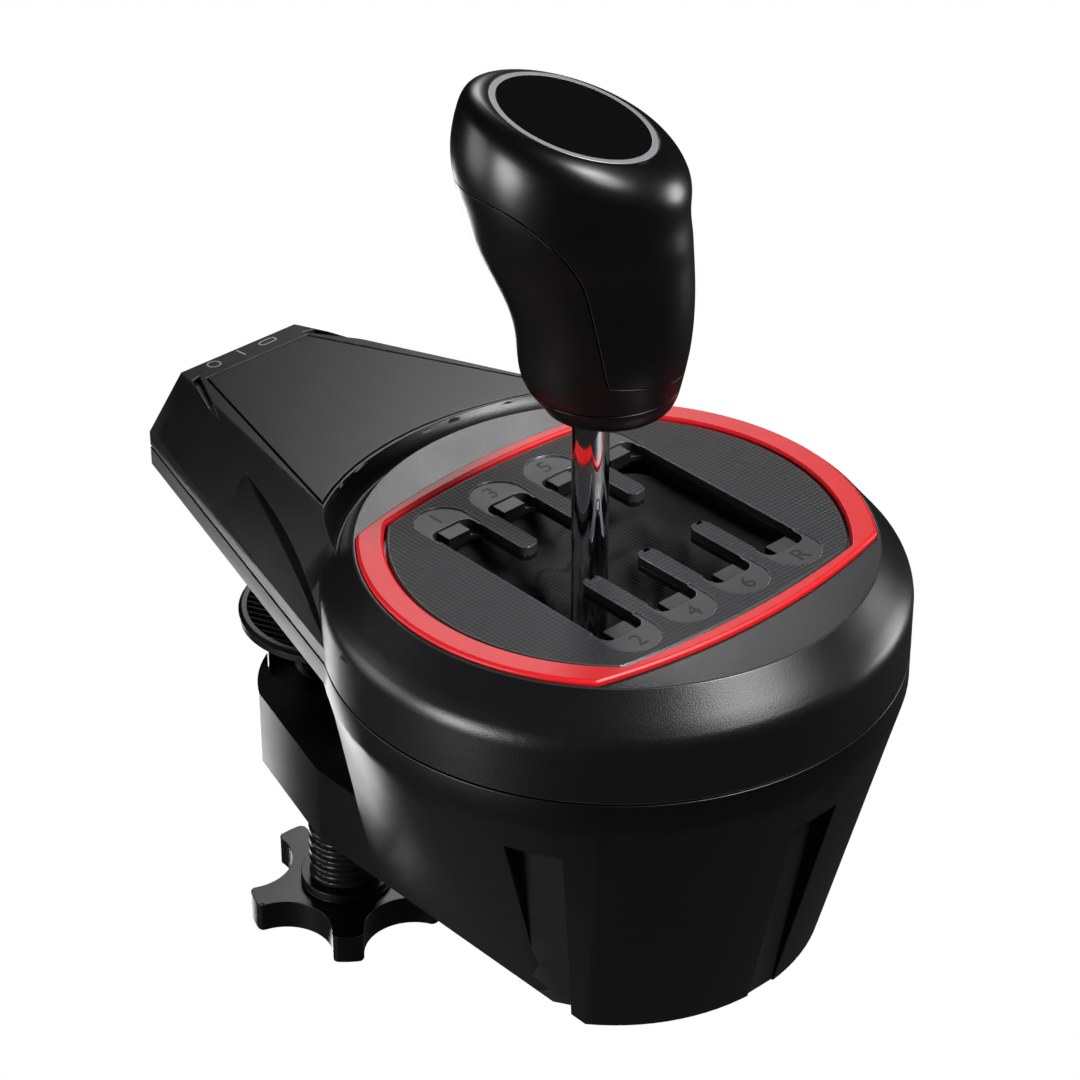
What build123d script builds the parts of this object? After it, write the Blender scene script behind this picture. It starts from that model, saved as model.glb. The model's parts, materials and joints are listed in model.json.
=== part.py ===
from build123d import *
import math
import os

# A desk-clamped H-pattern shifter for driving games, seven gears and reverse.
# Millimetres. The origin is on the clamp screw's axis, at the face that rests on the desk.
# +X is the driver's right, +Y points away from the driver along the tail, +Z is up.

os.makedirs("parts", exist_ok=True)

# Main places: the body's axis from the screw's axis, and heights above the desk face
screw_reach = 115.0
gate_top = 36.0
seam_z = 7.3
tail_under_z = 1.0

# Shells
wall = 3.0
body_radius = 76.5
shoulder_width = 9.0
shoulder_drop = 12.4
knee_width = 1.3
knee_height = 5.0
knee_bow_share = 0.2
seam_gap = 0.5
seam_depth = 0.7
cut_overrun = 2.0
tall_overrun = 40.0

# Gate opening and ring
lane_pitch = 19.0
slot_width = 13.4
slot_front = 28.3
slot_rear = 28.6
channel_front = 11.0
channel_rear = 9.3
slot_corner = 3.0
finger_round = 2.2
plate_thickness = 2.6
plate_gap = 0.6
plate_edge = 0.5
tab_step = 4.8
tab_length = 9.0
tab_depth = 0.4
tab_margin = 0.9
tab_wrap = 5.0
ring_inner_radius = 59.6
ring_inner_mid = 47.5
ring_inner_arc = 238.0
ring_outer_radius = 66.6
ring_outer_mid = 51.6
ring_outer_arc = 180.0
ring_proud = 0.7
ring_gap = 0.15
deck_drop = 0.6
ring_bevel = 0.6
outline_round = 3.0
lane_count = 4

# Opening in the top shell under the gate, and what hangs in it
opening_x = 38.5
opening_y = 34.0
opening_round = 5.0
liner_thickness = 1.6
liner_gap = 0.3
liner_pad_drop = 0.8
boot_rim = 1.9
boot_flange_x = 46.0
boot_flange_y = 36.5
boot_flange_thickness = 2.0
boot_wall = 1.2
boot_round = 8.0
boot_foot_radius = 9.0
boot_drop = 34.0
collar_height = 4.0
collar_seat = 0.3

# Tail
tail_front = 155.5
tail_rear = 5.0
tail_low_front = 32.7
tail_low_rear = 75.6
tail_top_front = 20.5
tail_top_rear = 61.6
crease_z = 11.7
tail_front_z = 26.1
tail_top_slope_share = 0.0956
scoop_margin = 0.5
scoop_run = 6.0
scoop_low_drop = 3.4
scoop_edge_rise = 0.8
panel_front = 146.3
panel_front_half = 17.8
panel_rear = 58.0
panel_rear_half = 46.0
panel_thickness = 1.2
panel_gap = 0.5
panel_margin = 1.9
wedge_depth = 1.6
wedge_points = ((18.8, -6.3), (21.8, -7.2), (32.4, -34.5))

# Lower shell
bucket_band = 8.2
bucket_depth = 77.9
bucket_low_radius = 56.8
bucket_half = 43.9
bucket_front = 47.5
pocket_count = 3
pocket_first_angle = 210.0
pocket_step_angle = 60.0
pocket_top_drop = 12.5
pocket_top_half = 7.6
pocket_low_half = 4.6
pocket_depth = 6.5
pocket_low_depth = 0.8
pocket_wall = 2.4
well_x = 22.0
well_y = 44.0
well_radius = 5.0
tray_well_front_x = 28.0
tray_well_front_y = 136.0
tray_well_rear_x = 46.0
tray_well_rear_y = 72.0

# Desk pad
desk_pad_thickness = 2.2
desk_pad_margin = 7.0
desk_pad_rear = 62.0

# Clamp arm, nut, screw, knob and pad
arm_thickness = 23.6
arm_flare_back = 43.4
arm_nose_half = 32.6
arm_nose_back = 4.0
arm_nose_ahead = 15.0
arm_mouth_half = 24.0
arm_mouth_back = 19.0
arm_mouth_ahead = 12.0
arm_mouth_round = 12.0
arm_mouth_depth = 5.0
arm_screws_x = (12.0, 30.0)
arm_screw_grip = 11.0
nut_radius = 13.0
screw_radius = 11.0
screw_neck_radius = 7.0
running_gap = 0.05
fit_gap = 0.02
star_radius = 29.5
star_flute_radius = 14.5
star_flute_reach = 32.5
star_tip_round = 2.0
star_lobes = 5
star_turn = 14.6
star_thickness = 9.5
star_drop = 61.0
star_collar_radius = 13.7
star_collar = 2.9
pad_radius = 28.3
pad_plate = 3.0
pad_rim = 1.0
pad_rim_width = 2.4
pad_clearance = 14.8
pad_hub_radius = 13.0
pad_hub = 8.0
pad_neck_depth = 6.7
neck_shoulder = 0.6
neck_top_gap = 0.3
neck_groove_depth = 1.05
neck_groove_gap = 0.15
clip_drop = 2.2
pad_face_thickness = 1.6
clip_thickness = 1.2
clip_radius = 8.6

# Lever, knob and rod
lever_x = -9.5
rod_radius = 4.75
pivot_rise = 30.8
knob_turn = -40.0
knob_low = 43.5
knob_split_rise = 6.0
knob_span = 45.0
# Knob sections: height, shift along the knob's long direction, half widths, lean in degrees
knob_sections = (
    (43.5, 3.0, 15.0, 15.0, 0.0),
    (50.0, 3.0, 19.5, 18.5, 0.0),
    (62.0, 3.0, 21.6, 20.5, 0.0),
    (75.0, 1.6, 23.5, 22.0, 0.0),
    (88.0, -2.0, 26.6, 23.5, 4.0),
    (96.0, -3.9, 28.5, 25.2, 10.0),
    (106.0, -5.2, 29.8, 26.2, 15.0),
    (114.5, -4.6, 29.3, 26.3, 18.0),
    (119.3, -5.0, 26.8, 24.4, 18.0),
    (121.3, -4.6, 23.3, 21.8, 18.0),
)
parting_points = ((-36.0, 106.5), (-19.0, 106.0), (-9.5, 98.0), (-3.8, 89.0), (-1.4, 80.3), (1.0, 68.5),
                  (3.0, 58.5))
parting_foot_points = ((10.5, 57.5), (24.0, 54.4), (36.0, 51.7))
knob_core_radius = 7.2
knob_core_length = 48.9
rod_top = 84.0
nut_across = 15.0
nut_height = 5.0
nut_recess = 0.6
nut_hole_radius = 8.9
emblem_radius = 21.2
emblem_thickness = 1.6
emblem_ring_width = 1.7
emblem_gap = 0.15
parting_gap = 0.3

# Gimbal under the boot
frame_plate = 4.0
frame_half_x = 27.0
frame_half_y = 36.0
upright_thickness = 6.0
upright_inner = 26.0
upright_half = 13.0
bush_radius = 6.0
bush_flange_radius = 8.0
bush_flange = 1.2
stub_radius = 4.0
yoke_inner_x = 11.5
yoke_outer_x = 16.5
yoke_inner_y = 18.5
yoke_outer_y = 23.0
yoke_half = 6.0
stub_root = 4.0
yoke_round = 2.0
frame_round = 4.0
upright_top = 10.0
axle_radius = 3.0
axle_half = 19.0
block_half_x = 9.0
block_half_y = 10.0
block_low = 8.0
block_high = 8.0
block_boss_radius = 8.2
block_boss_top = 24.0
block_foot_radius = 4.6
block_foot = 13.0
block_bush_radius = 5.0
block_bush_length = 5.0
block_bush_flange = 1.2
block_bush_flange_radius = 6.4
block_bore_radius = 3.4
block_round = 1.5
rod_seat = 6.0
clip_width = 0.9
cam_inner = 15.5
cam_outer = 18.0
cam_half = 14.0
cam_leg = 2.3
cam_arc_angle = 34.0
plunger_radius = 2.4
plunger_gap = 0.3
plunger_length = 6.2
plunger_bore = 9.0
detent_coil_radius = 2.2
detent_coil_wall = 0.6
spiral_radius = 7.6
spiral_inner = 4.6
spiral_width = 1.0
spiral_gap = 0.4

# Electronics
board_x = 42.0
board_y = 34.0
board_thickness = 1.6
board_front_gap = 1.0
board_z = 9.6
post_radius = 3.0
usb_x = 8.0
usb_width = 9.0
usb_height = 3.2
usb_depth = 7.4
din_x = -11.0
din_width = 14.0
din_height = 11.4
din_depth = 12.0
din_radius = 4.8
port_gap = 0.4
port_recess = 1.2
chip_size = 7.0
chip_height = 1.2
tray_floor = 2.4
board_post_x = 17.0
board_post_y = 12.0
chips = ((-9.0, -6.0), (8.0, -8.0), (9.0, 4.0))
sensor_board = 14.0
sensor_reach = 34.0
sensor_top = 7.0
shift_board_half = 4.6
sensor_thickness = 1.4
magnet_radius = 2.6
magnet_length = 1.2

# Screws
screw_shank = 1.5
screw_head = 2.8
screw_head_height = 2.0
screw_grip = 9.0
socket_radius = 1.4
socket_depth = 1.1
post_wall = 4.5
post_cover = 1.5
gate_screw_x = 43.0
gate_screw_y = 20.0
gate_screw_grip = 4.2
frame_screw_x = 22.0
frame_screw_y = 31.0
frame_screw_grip = 6.2
pilot_gap = 0.1

# Worked-out heights and places
plateau_z = gate_top - plate_thickness
deck_z = gate_top - deck_drop
plateau_radius = body_radius - shoulder_width
scoop_radius = body_radius + scoop_margin
scoop_low_radius = scoop_radius - scoop_run
panel_circle = body_radius + panel_margin
shoulder_z = plateau_z - shoulder_drop
bucket_top_z = seam_z - bucket_band
bucket_low_z = bucket_top_z - bucket_depth
arm_top_z = bucket_low_z + arm_thickness
arm_flare_y = screw_reach - arm_flare_back
arm_nose_y = screw_reach - arm_nose_back
arm_nose_end = screw_reach + arm_nose_ahead
arm_mouth_rear = screw_reach - arm_mouth_back
arm_mouth_front = screw_reach + arm_mouth_ahead
pad_drop = -arm_top_z - pad_clearance
pivot_z = bucket_low_z + pivot_rise
nut_low = knob_low + nut_recess
knob_core_low = nut_low + nut_height + fit_gap
frame_z = bucket_low_z + wall
body_axis = Axis((0, -screw_reach, 0), (0, 0, 1))
top_length_share = math.hypot(1, tail_top_slope_share)


def body_plane(height):
    """Horizontal plane at a height, centred on the round body's axis."""
    return Plane(origin=(0, -screw_reach, height))


def lever_plane(height):
    """Horizontal plane at a height, centred on the lever's axis at rest."""
    return Plane(origin=(lever_x, -screw_reach, height))


def section_plane():
    """Upright plane through the round body's axis, its first axis along +X and its second up."""
    return Plane(origin=(0, -screw_reach, 0), x_dir=(1, 0, 0), z_dir=(0, -1, 0))


def top_plane(drop):
    """The tail's sloping top, lowered by a drop, its origin at the middle of the front edge."""
    return Plane(origin=(0, tail_front - screw_reach, tail_front_z - drop), x_dir=(1, 0, 0),
                 z_dir=(0, tail_top_slope_share, 1))


def write(piece, name):
    """Label a finished piece and write it as one STEP file."""
    piece.part.label = name
    export_step(piece.part, "parts/" + name + ".step")


def gate_outline(side_radius, mid, arc_radius, rounding):
    """Outline of the gate: two side arcs, and two flatter arcs in front and behind."""
    with BuildSketch() as outline:
        Circle(side_radius)
        with Locations((0, mid - arc_radius)):
            Circle(arc_radius, mode=Mode.INTERSECT)
        with Locations((0, arc_radius - mid)):
            Circle(arc_radius, mode=Mode.INTERSECT)
        fillet(outline.vertices(), rounding)
    return outline.sketch


def lane_places():
    """The lanes' places across the gate, left to right."""
    return [(lane - (lane_count - 1) / 2) * lane_pitch for lane in range(lane_count)]


def shift_pattern(width, end_extra, rounding):
    """The shift pattern: lanes across one channel, their ends rounded."""
    low = -slot_rear - end_extra
    high = slot_front + end_extra
    with BuildSketch() as pattern:
        with Locations((0, (channel_front - channel_rear) / 2)):
            Rectangle((lane_count - 1) * lane_pitch + width, channel_front + channel_rear)
        with Locations(*[(x, (low + high) / 2) for x in lane_places()]):
            Rectangle(width, high - low)
        ends = [v for v in pattern.vertices() if v.Y > high - rounding or v.Y < low + rounding]
        fillet(ends, rounding)
        tips = [v for v in pattern.vertices() if abs(v.X) < lane_pitch + width / 2
                and low + width < v.Y < high - width]
        fillet(tips, finger_round)
    return pattern.sketch


def body_puck(inset):
    """The round body above the seam: a wall, a rounded knee and a sloping shoulder up to the deck.

    Its inside lies under the floor that the gate plate rests on, which is lower than the deck.
    """
    radius = body_radius - inset
    top = plateau_z - inset if inset else deck_z
    knee_z = shoulder_z + knee_height - inset
    bow = (radius - knee_width * knee_bow_share, (shoulder_z + knee_z) / 2)
    knee = (radius - knee_width, knee_z)
    with BuildPart() as puck:
        with BuildSketch(section_plane()):
            with BuildLine():
                Line((0, seam_z), (radius, seam_z))
                Line((radius, seam_z), (radius, shoulder_z))
                ThreePointArc((radius, shoulder_z), bow, knee)
                Line(knee, (plateau_radius, top))
                Line((plateau_radius, top), (0, top))
                Line((0, top), (0, seam_z))
            make_face()
        revolve(axis=body_axis)
    return puck.part


def tail_outline(inset):
    """Plan outline of the tail's upright band."""
    front = tail_front - inset
    with BuildSketch() as outline:
        with BuildLine():
            Polyline((inset - tail_low_front, front), (tail_low_front - inset, front),
                     (tail_low_rear - inset, tail_rear), (inset - tail_low_rear, tail_rear), close=True)
        make_face()
    return outline.sketch


def tail_form(inset):
    """The tail above the seam: an upright band, then sides that lean in to a sloping top."""
    rear = (tail_rear - tail_front) * top_length_share
    outline = tail_outline(inset)
    with BuildPart() as tail:
        with BuildSketch(body_plane(seam_z)):
            add(outline)
        extrude(amount=crease_z - seam_z)
        with BuildSketch(body_plane(crease_z)):
            add(outline)
        with BuildSketch(top_plane(inset)):
            with BuildLine():
                Polyline((inset - tail_top_front, -inset), (tail_top_front - inset, -inset),
                         (tail_top_rear - inset, rear), (inset - tail_top_rear, rear), close=True)
            make_face()
        loft(ruled=True)
    return tail.part


def scoop_form(inset):
    """What the tail gives up round the gate: a shallow dish inside the crease circle."""
    low = plateau_z - scoop_low_drop - inset
    edge = plateau_z + scoop_edge_rise - inset
    high = plateau_z + tall_overrun
    with BuildPart() as scoop:
        with BuildSketch(section_plane()):
            with BuildLine():
                Line((0, low), (plateau_radius, low))
                ThreePointArc((plateau_radius, low), (scoop_low_radius, low), (scoop_radius, edge))
                Line((scoop_radius, edge), (scoop_radius, high))
                Line((scoop_radius, high), (0, high))
                Line((0, high), (0, low))
            make_face()
        revolve(axis=body_axis)
    return scoop.part


def top_form(inset):
    """The whole upper casing as a closed form, or its inside when inset."""
    tail = tail_form(inset)
    scoop = scoop_form(inset)
    puck = body_puck(inset)
    with BuildPart() as form:
        add(tail)
        add(scoop, mode=Mode.SUBTRACT)
        add(puck)
    return form.part


def bucket_outline(inset, low):
    """Plan of the bucket under its band, or at its low end: rear arc, two sides and a flat front."""
    front = bucket_front - inset
    if low:
        radius = bucket_low_radius - inset
        half = bucket_half - inset
        turn = math.acos(half / radius)
    else:
        radius = body_radius - inset
        half = math.sqrt(radius**2 - front**2)
        turn = math.acos(bucket_half / bucket_low_radius)
    left = (-radius * math.cos(turn), -radius * math.sin(turn))
    right = (radius * math.cos(turn), -radius * math.sin(turn))
    with BuildSketch() as outline:
        with BuildLine():
            Line((half, front), (-half, front))
            if low:
                Line((-half, front), left)
            else:
                ThreePointArc((-half, front), (-radius, 0), left)
            ThreePointArc(left, (0, -radius), right)
            if low:
                Line(right, (half, front))
            else:
                ThreePointArc(right, (radius, 0), (half, front))
        make_face()
    return outline.sketch


def bucket_form(inset, low_z):
    """The bucket from its band down to a height, or its inside when inset."""
    high_outline = bucket_outline(inset, False)
    low_outline = bucket_outline(inset, True)
    with BuildPart() as bucket:
        with BuildSketch(body_plane(bucket_top_z)):
            add(high_outline)
        extrude(amount=seam_z - bucket_top_z)
        with BuildSketch(body_plane(bucket_top_z)):
            add(high_outline)
        with BuildSketch(body_plane(low_z)):
            add(low_outline)
        loft(ruled=True)
    return bucket.part


def bars(plane, places, radius, length):
    """Round bars of one size, standing on a plane."""
    with BuildPart() as group:
        with BuildSketch(plane):
            with Locations(*places):
                Circle(radius)
        extrude(amount=length)
    return group.part


def block(plane, width, depth, height, rounding):
    """A block with rounded corners, standing on a plane."""
    with BuildPart() as piece:
        with BuildSketch(plane):
            RectangleRounded(width, depth, rounding)
        extrude(amount=height)
    return piece.part


def screws(plane, places, grip):
    """Socket screws with their heads on a plane and their shanks along its normal."""
    shanks = bars(plane, places, screw_shank, grip)
    heads = bars(plane, places, screw_head, -screw_head_height)
    sockets = bars(plane.offset(-screw_head_height), places, socket_radius, socket_depth)
    with BuildPart() as group:
        add(shanks)
        add(heads)
        add(sockets, mode=Mode.SUBTRACT)
    return group.part


def corners(x, y):
    """The four places at plus and minus x and y."""
    return [(x, y), (-x, y), (-x, -y), (x, -y)]


def pockets(extra, top_drop, depth, low_depth):
    """The bucket's rear pockets as tapered wedges, with their depths at the top and the low end."""
    top = bucket_top_z - top_drop
    low = bucket_low_z - extra
    with BuildPart() as group:
        for number in range(pocket_count):
            turn = math.radians(pocket_first_angle + number * pocket_step_angle)
            out = (math.cos(turn), math.sin(turn))
            side = (-math.sin(turn), math.cos(turn), 0)
            wall_low_radius = min(bucket_low_radius, bucket_half / abs(out[0]))
            fall = (body_radius - wall_low_radius) / bucket_depth
            near_top = body_radius - (bucket_top_z - top) * fall - depth
            near_low = body_radius - (bucket_top_z - low) * fall - low_depth
            for height, near, half in ((top, near_top, pocket_top_half), (low, near_low, pocket_low_half)):
                middle = near + tall_overrun / 2
                origin = (out[0] * middle, out[1] * middle - screw_reach, height)
                with BuildSketch(Plane(origin=origin, x_dir=side, z_dir=(0, 0, 1))):
                    Rectangle(2 * (half + extra), tall_overrun)
            loft(ruled=True)
    return group.part


def knob_plane(height, shift, lean):
    """Plane of a knob section: along the knob's long direction, leaning towards it."""
    turn = math.radians(knob_turn)
    tilt = math.radians(lean)
    along = (math.cos(turn), math.sin(turn))
    origin = (lever_x + shift * along[0], shift * along[1] - screw_reach, gate_top + height)
    return Plane(origin=origin,
                 x_dir=(math.cos(tilt) * along[0], math.cos(tilt) * along[1], -math.sin(tilt)),
                 z_dir=(math.sin(tilt) * along[0], math.sin(tilt) * along[1], math.cos(tilt)))


def knob_form():
    """The grip as one smooth body through its sections."""
    with BuildPart() as form:
        for height, shift, half_long, half_cross, lean in knob_sections:
            with BuildSketch(knob_plane(height, shift, lean)):
                Ellipse(half_long, half_cross)
        loft()
    return form.part


def parting_form(back):
    """Everything to the left of and below the grip's parting line, drawn back by a gap."""
    turn = math.radians(knob_turn)
    along = (math.cos(turn), math.sin(turn), 0)
    across = (math.sin(turn), -math.cos(turn), 0)
    middle = (lever_x, -screw_reach, gate_top)
    line = [(x - back, z - back) for x, z in parting_points]
    foot = [(x - back, z - back) for x, z in parting_foot_points]
    with BuildPart() as form:
        with BuildSketch(Plane(origin=middle, x_dir=along, z_dir=across)):
            with BuildLine():
                Spline(*line)
                Polyline(line[-1], *foot, (knob_span, knob_low), (-knob_span, knob_low),
                         (-knob_span, line[0][1]), line[0])
            make_face()
        extrude(amount=knob_span, both=True)
    return form.part


def side_plane(x):
    """Upright plane facing +X at a distance from the gimbal's centre, its second axis up."""
    return Plane(origin=(lever_x + x, -screw_reach, pivot_z), x_dir=(0, 1, 0), z_dir=(1, 0, 0))


def front_plane(y):
    """Upright plane facing +Y at a distance from the gimbal's centre, its second axis down."""
    return Plane(origin=(lever_x, y - screw_reach, pivot_z), x_dir=(1, 0, 0), z_dir=(0, 1, 0))


def rear_facing_plane(x, y, z):
    """Upright plane facing the driver at a place given from the body's axis, its second axis up."""
    return Plane(origin=(x, y - screw_reach, z), x_dir=(1, 0, 0), z_dir=(0, -1, 0))


def away_facing_plane(x, y, z):
    """Upright plane facing away from the driver at a place given from the body's axis."""
    return Plane(origin=(x, y - screw_reach, z), x_dir=(1, 0, 0), z_dir=(0, 1, 0))


# Places shared by several pieces
centre = [(0, 0)]
tray_screw_places = [(-tray_well_front_x, tray_well_front_y), (tray_well_front_x, tray_well_front_y),
                     (-tray_well_rear_x, tray_well_rear_y), (tray_well_rear_x, tray_well_rear_y)]
bucket_screw_places = [(well_x, -well_y), (-well_x, -well_y)]
tray_head_z = desk_pad_thickness + screw_head_height
bucket_head_z = seam_z - wall
gate_screw_places = corners(gate_screw_x, gate_screw_y)
frame_screw_places = corners(frame_screw_x, frame_screw_y)
board_middle_y = tail_front - wall - board_front_gap - board_y / 2
board_top_z = board_z + board_thickness
din_z = board_top_z + din_height / 2
usb_z = board_top_z + usb_height / 2
port_face_y = tail_front - port_recess
arm_screw_z = bucket_low_z + arm_thickness / 2
clip_z = -pad_drop - pad_plate - pad_hub + clip_drop

# Top shell
outer = top_form(0)
inner = top_form(wall)
cover = top_form(post_cover)
with BuildPart() as posts:
    with BuildSketch(body_plane(seam_z)):
        with Locations(*tray_screw_places, *bucket_screw_places):
            Circle(post_wall)
    extrude(amount=plateau_z - seam_z)
    add(cover, mode=Mode.INTERSECT)
tray_shanks = bars(body_plane(seam_z), tray_screw_places + bucket_screw_places,
                   screw_shank + pilot_gap, screw_grip)
flange_z = plateau_z - wall - boot_flange_thickness
gate_shanks = bars(body_plane(flange_z), gate_screw_places, screw_shank + pilot_gap, gate_screw_grip)
opening = block(body_plane(plateau_z - 2 * wall), 2 * opening_x, 2 * opening_y, 3 * wall, opening_round)


def panel_outline(margin):
    """The tail panel's outline on the sloping top, grown by a margin."""
    front = (panel_front - tail_front) * top_length_share + margin
    rear = (panel_rear - tail_front) * top_length_share
    with BuildSketch() as outline:
        with BuildLine():
            Polyline((-panel_front_half - margin, front), (panel_front_half + margin, front),
                     (panel_rear_half + margin, rear), (-panel_rear_half - margin, rear), close=True)
        make_face()
    return outline.sketch


def panel_form(margin):
    """The tail panel, cut back round the gate, grown by a margin."""
    outline = panel_outline(margin)
    clear = bars(body_plane(seam_z), centre, panel_circle - margin, tall_overrun)
    with BuildPart() as form:
        with BuildSketch(top_plane(panel_thickness)):
            add(outline)
        extrude(amount=panel_thickness + margin)
        add(clear, mode=Mode.SUBTRACT)
    return form.part


panel_recess = panel_form(panel_gap)
recess_outline = gate_outline(ring_outer_radius + ring_gap, ring_outer_mid + ring_gap,
                              ring_outer_arc, outline_round)
with BuildPart() as gate_recess:
    with BuildSketch(body_plane(plateau_z)):
        add(recess_outline)
    extrude(amount=wall)
with BuildPart() as wedges:
    with BuildSketch(top_plane(wedge_depth)):
        for hand in (-1, 1):
            with BuildLine():
                Polyline(*[(hand * x, y) for x, y in wedge_points], close=True)
            make_face()
    extrude(amount=wedge_depth + panel_gap)
with BuildPart() as port_holes:
    with BuildSketch(rear_facing_plane(din_x, tail_front + cut_overrun, din_z)):
        Circle(din_radius + port_gap)
    extrude(amount=wall + 2 * cut_overrun)
    with BuildSketch(rear_facing_plane(usb_x, tail_front + cut_overrun, usb_z)):
        SlotOverall(usb_width + 2 * port_gap, usb_height + 2 * port_gap)
    extrude(amount=wall + 2 * cut_overrun)
with BuildPart() as top_shell:
    add(outer)
    add(inner, mode=Mode.SUBTRACT)
    add(posts)
    add(opening, mode=Mode.SUBTRACT)
    add(gate_recess, mode=Mode.SUBTRACT)
    add(panel_recess, mode=Mode.SUBTRACT)
    add(wedges, mode=Mode.SUBTRACT)
    add(port_holes, mode=Mode.SUBTRACT)
    add(tray_shanks, mode=Mode.SUBTRACT)
    add(gate_shanks, mode=Mode.SUBTRACT)
write(top_shell, "top_shell")

# Panel let into the tail's top
panel = panel_form(0)
with BuildPart() as tail_panel:
    add(panel)
write(tail_panel, "tail_panel")

# Gate plate
plate_outline = gate_outline(ring_inner_radius - plate_gap, ring_inner_mid - plate_gap,
                             ring_inner_arc - plate_gap, outline_round)
plate_slots = shift_pattern(slot_width, tab_step, slot_corner)
tab_half = slot_width / 2 + tab_margin
tab_straight = tab_length - tab_half
with BuildPart() as gate_plate:
    with BuildSketch(body_plane(plateau_z)):
        add(plate_outline)
    extrude(amount=plate_thickness)
    chamfer(gate_plate.faces().sort_by(Axis.Z)[-1].edges(), plate_edge)
    with BuildSketch(body_plane(plateau_z)):
        add(plate_slots)
    extrude(amount=plate_thickness, mode=Mode.SUBTRACT)
    with BuildSketch(body_plane(gate_top)):
        for x in lane_places():
            for hand, reach in ((1, slot_front + tab_step), (-1, slot_rear + tab_step)):
                with Locations((x, hand * (reach + tab_straight))):
                    Circle(tab_half)
                with Locations((x, hand * (reach + (tab_straight - tab_wrap) / 2))):
                    Rectangle(2 * tab_half, tab_straight + tab_wrap)
    extrude(amount=-tab_depth, mode=Mode.SUBTRACT)
write(gate_plate, "gate_plate")

# Ring round the gate
ring_outer = gate_outline(ring_outer_radius, ring_outer_mid, ring_outer_arc, outline_round)
ring_inner = gate_outline(ring_inner_radius, ring_inner_mid, ring_inner_arc, outline_round)
with BuildPart() as gate_ring:
    with BuildSketch(body_plane(plateau_z)):
        add(ring_outer)
        add(ring_inner, mode=Mode.SUBTRACT)
    extrude(amount=plate_thickness + ring_proud)
    chamfer(gate_ring.faces().sort_by(Axis.Z)[-1].edges(), ring_bevel)
write(gate_ring, "gate_ring")

# Liner with the slots, and pads that fill the plate's slot ends
liner_slots = shift_pattern(slot_width, 0, slot_corner)
pad_places = [(x, slot_front + (tab_step - liner_gap) / 2) for x in lane_places()]
pad_places += [(x, -slot_rear - (tab_step - liner_gap) / 2) for x in lane_places()]
with BuildPart() as gate_liner:
    with BuildSketch(body_plane(plateau_z - liner_thickness)):
        RectangleRounded(2 * (opening_x - liner_gap), 2 * (opening_y - liner_gap), opening_round)
        add(liner_slots, mode=Mode.SUBTRACT)
    extrude(amount=liner_thickness)
    with BuildSketch(body_plane(plateau_z)):
        with Locations(*pad_places):
            Rectangle(slot_width - 2 * slot_corner, tab_step - liner_gap)
    extrude(amount=plate_thickness - liner_pad_drop)
write(gate_liner, "gate_liner")

# Frame that holds the boot under the opening
with BuildPart() as boot_frame:
    with BuildSketch(body_plane(flange_z)):
        RectangleRounded(2 * boot_flange_x, 2 * boot_flange_y, opening_round)
    extrude(amount=boot_flange_thickness)
    with BuildSketch(body_plane(flange_z + boot_flange_thickness)):
        RectangleRounded(2 * (opening_x - liner_gap), 2 * (opening_y - liner_gap), opening_round)
    extrude(amount=wall - liner_thickness)
    with BuildSketch(body_plane(flange_z)):
        RectangleRounded(2 * (opening_x - boot_rim), 2 * (opening_y - boot_rim - panel_gap), opening_round)
    extrude(amount=boot_flange_thickness + wall, mode=Mode.SUBTRACT)
    add(gate_shanks, mode=Mode.SUBTRACT)
write(boot_frame, "boot_frame")


def boot_form(inset):
    """The boot as a closed funnel, or its inside when inset."""
    with BuildPart() as funnel:
        with BuildSketch(body_plane(flange_z)):
            RectangleRounded(2 * (opening_x - inset), 2 * (opening_y - inset), boot_round)
        with BuildSketch(lever_plane(gate_top - boot_drop)):
            Circle(boot_foot_radius + boot_wall - inset)
        loft()
    return funnel.part


# Boot: a fabric funnel from the frame down to the collar on the rod
boot_outside = boot_form(0)
boot_inside = boot_form(boot_wall)
with BuildPart() as shift_boot:
    add(boot_outside)
    add(boot_inside, mode=Mode.SUBTRACT)
write(shift_boot, "shift_boot")

# Collar on the rod under the boot
with BuildPart() as boot_collar:
    with BuildSketch(lever_plane(gate_top - boot_drop - collar_seat - collar_height)):
        Circle(boot_foot_radius)
        Circle(rod_radius + fit_gap, mode=Mode.SUBTRACT)
    extrude(amount=collar_height)
write(boot_collar, "boot_collar")

# Lower shell: the tray under the tail, the band and the bucket
bucket_outside = bucket_form(0, bucket_low_z)
bucket_inside = bucket_form(wall, frame_z)
tray_outside = tail_outline(0)
tray_inside = tail_outline(wall)
floor_z = tail_under_z + tray_floor
bucket_tubes = bars(body_plane(bucket_low_z), bucket_screw_places, well_radius + cut_overrun,
                    seam_z - bucket_low_z)
bucket_wells = bars(body_plane(bucket_low_z), bucket_screw_places, well_radius,
                    bucket_head_z - bucket_low_z)
tray_bosses = bars(body_plane(tail_under_z), tray_screw_places, post_wall, seam_z - tail_under_z)
tray_counterbores = bars(body_plane(tail_under_z), tray_screw_places, screw_head + pilot_gap,
                         tray_head_z - tail_under_z)
board_post_places = [(x, board_middle_y + y) for x, y in corners(board_post_x, board_post_y)]
board_posts = bars(body_plane(tail_under_z), board_post_places, post_radius, board_z - tail_under_z)
shell_shanks = bars(body_plane(tail_under_z), tray_screw_places + bucket_screw_places,
                    screw_shank + pilot_gap, seam_z)
frame_pilots = bars(body_plane(frame_z + frame_plate), [(lever_x + x, y) for x, y in frame_screw_places],
                    screw_shank + pilot_gap, -frame_screw_grip - pilot_gap)
pad_front = tail_front - desk_pad_margin
pad_front_half = tail_low_front - desk_pad_margin
pad_rear_half = tail_low_rear - 2 * desk_pad_margin - (desk_pad_rear - tail_rear) * (
    tail_low_rear - tail_low_front) / (tail_front - tail_rear)


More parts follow.
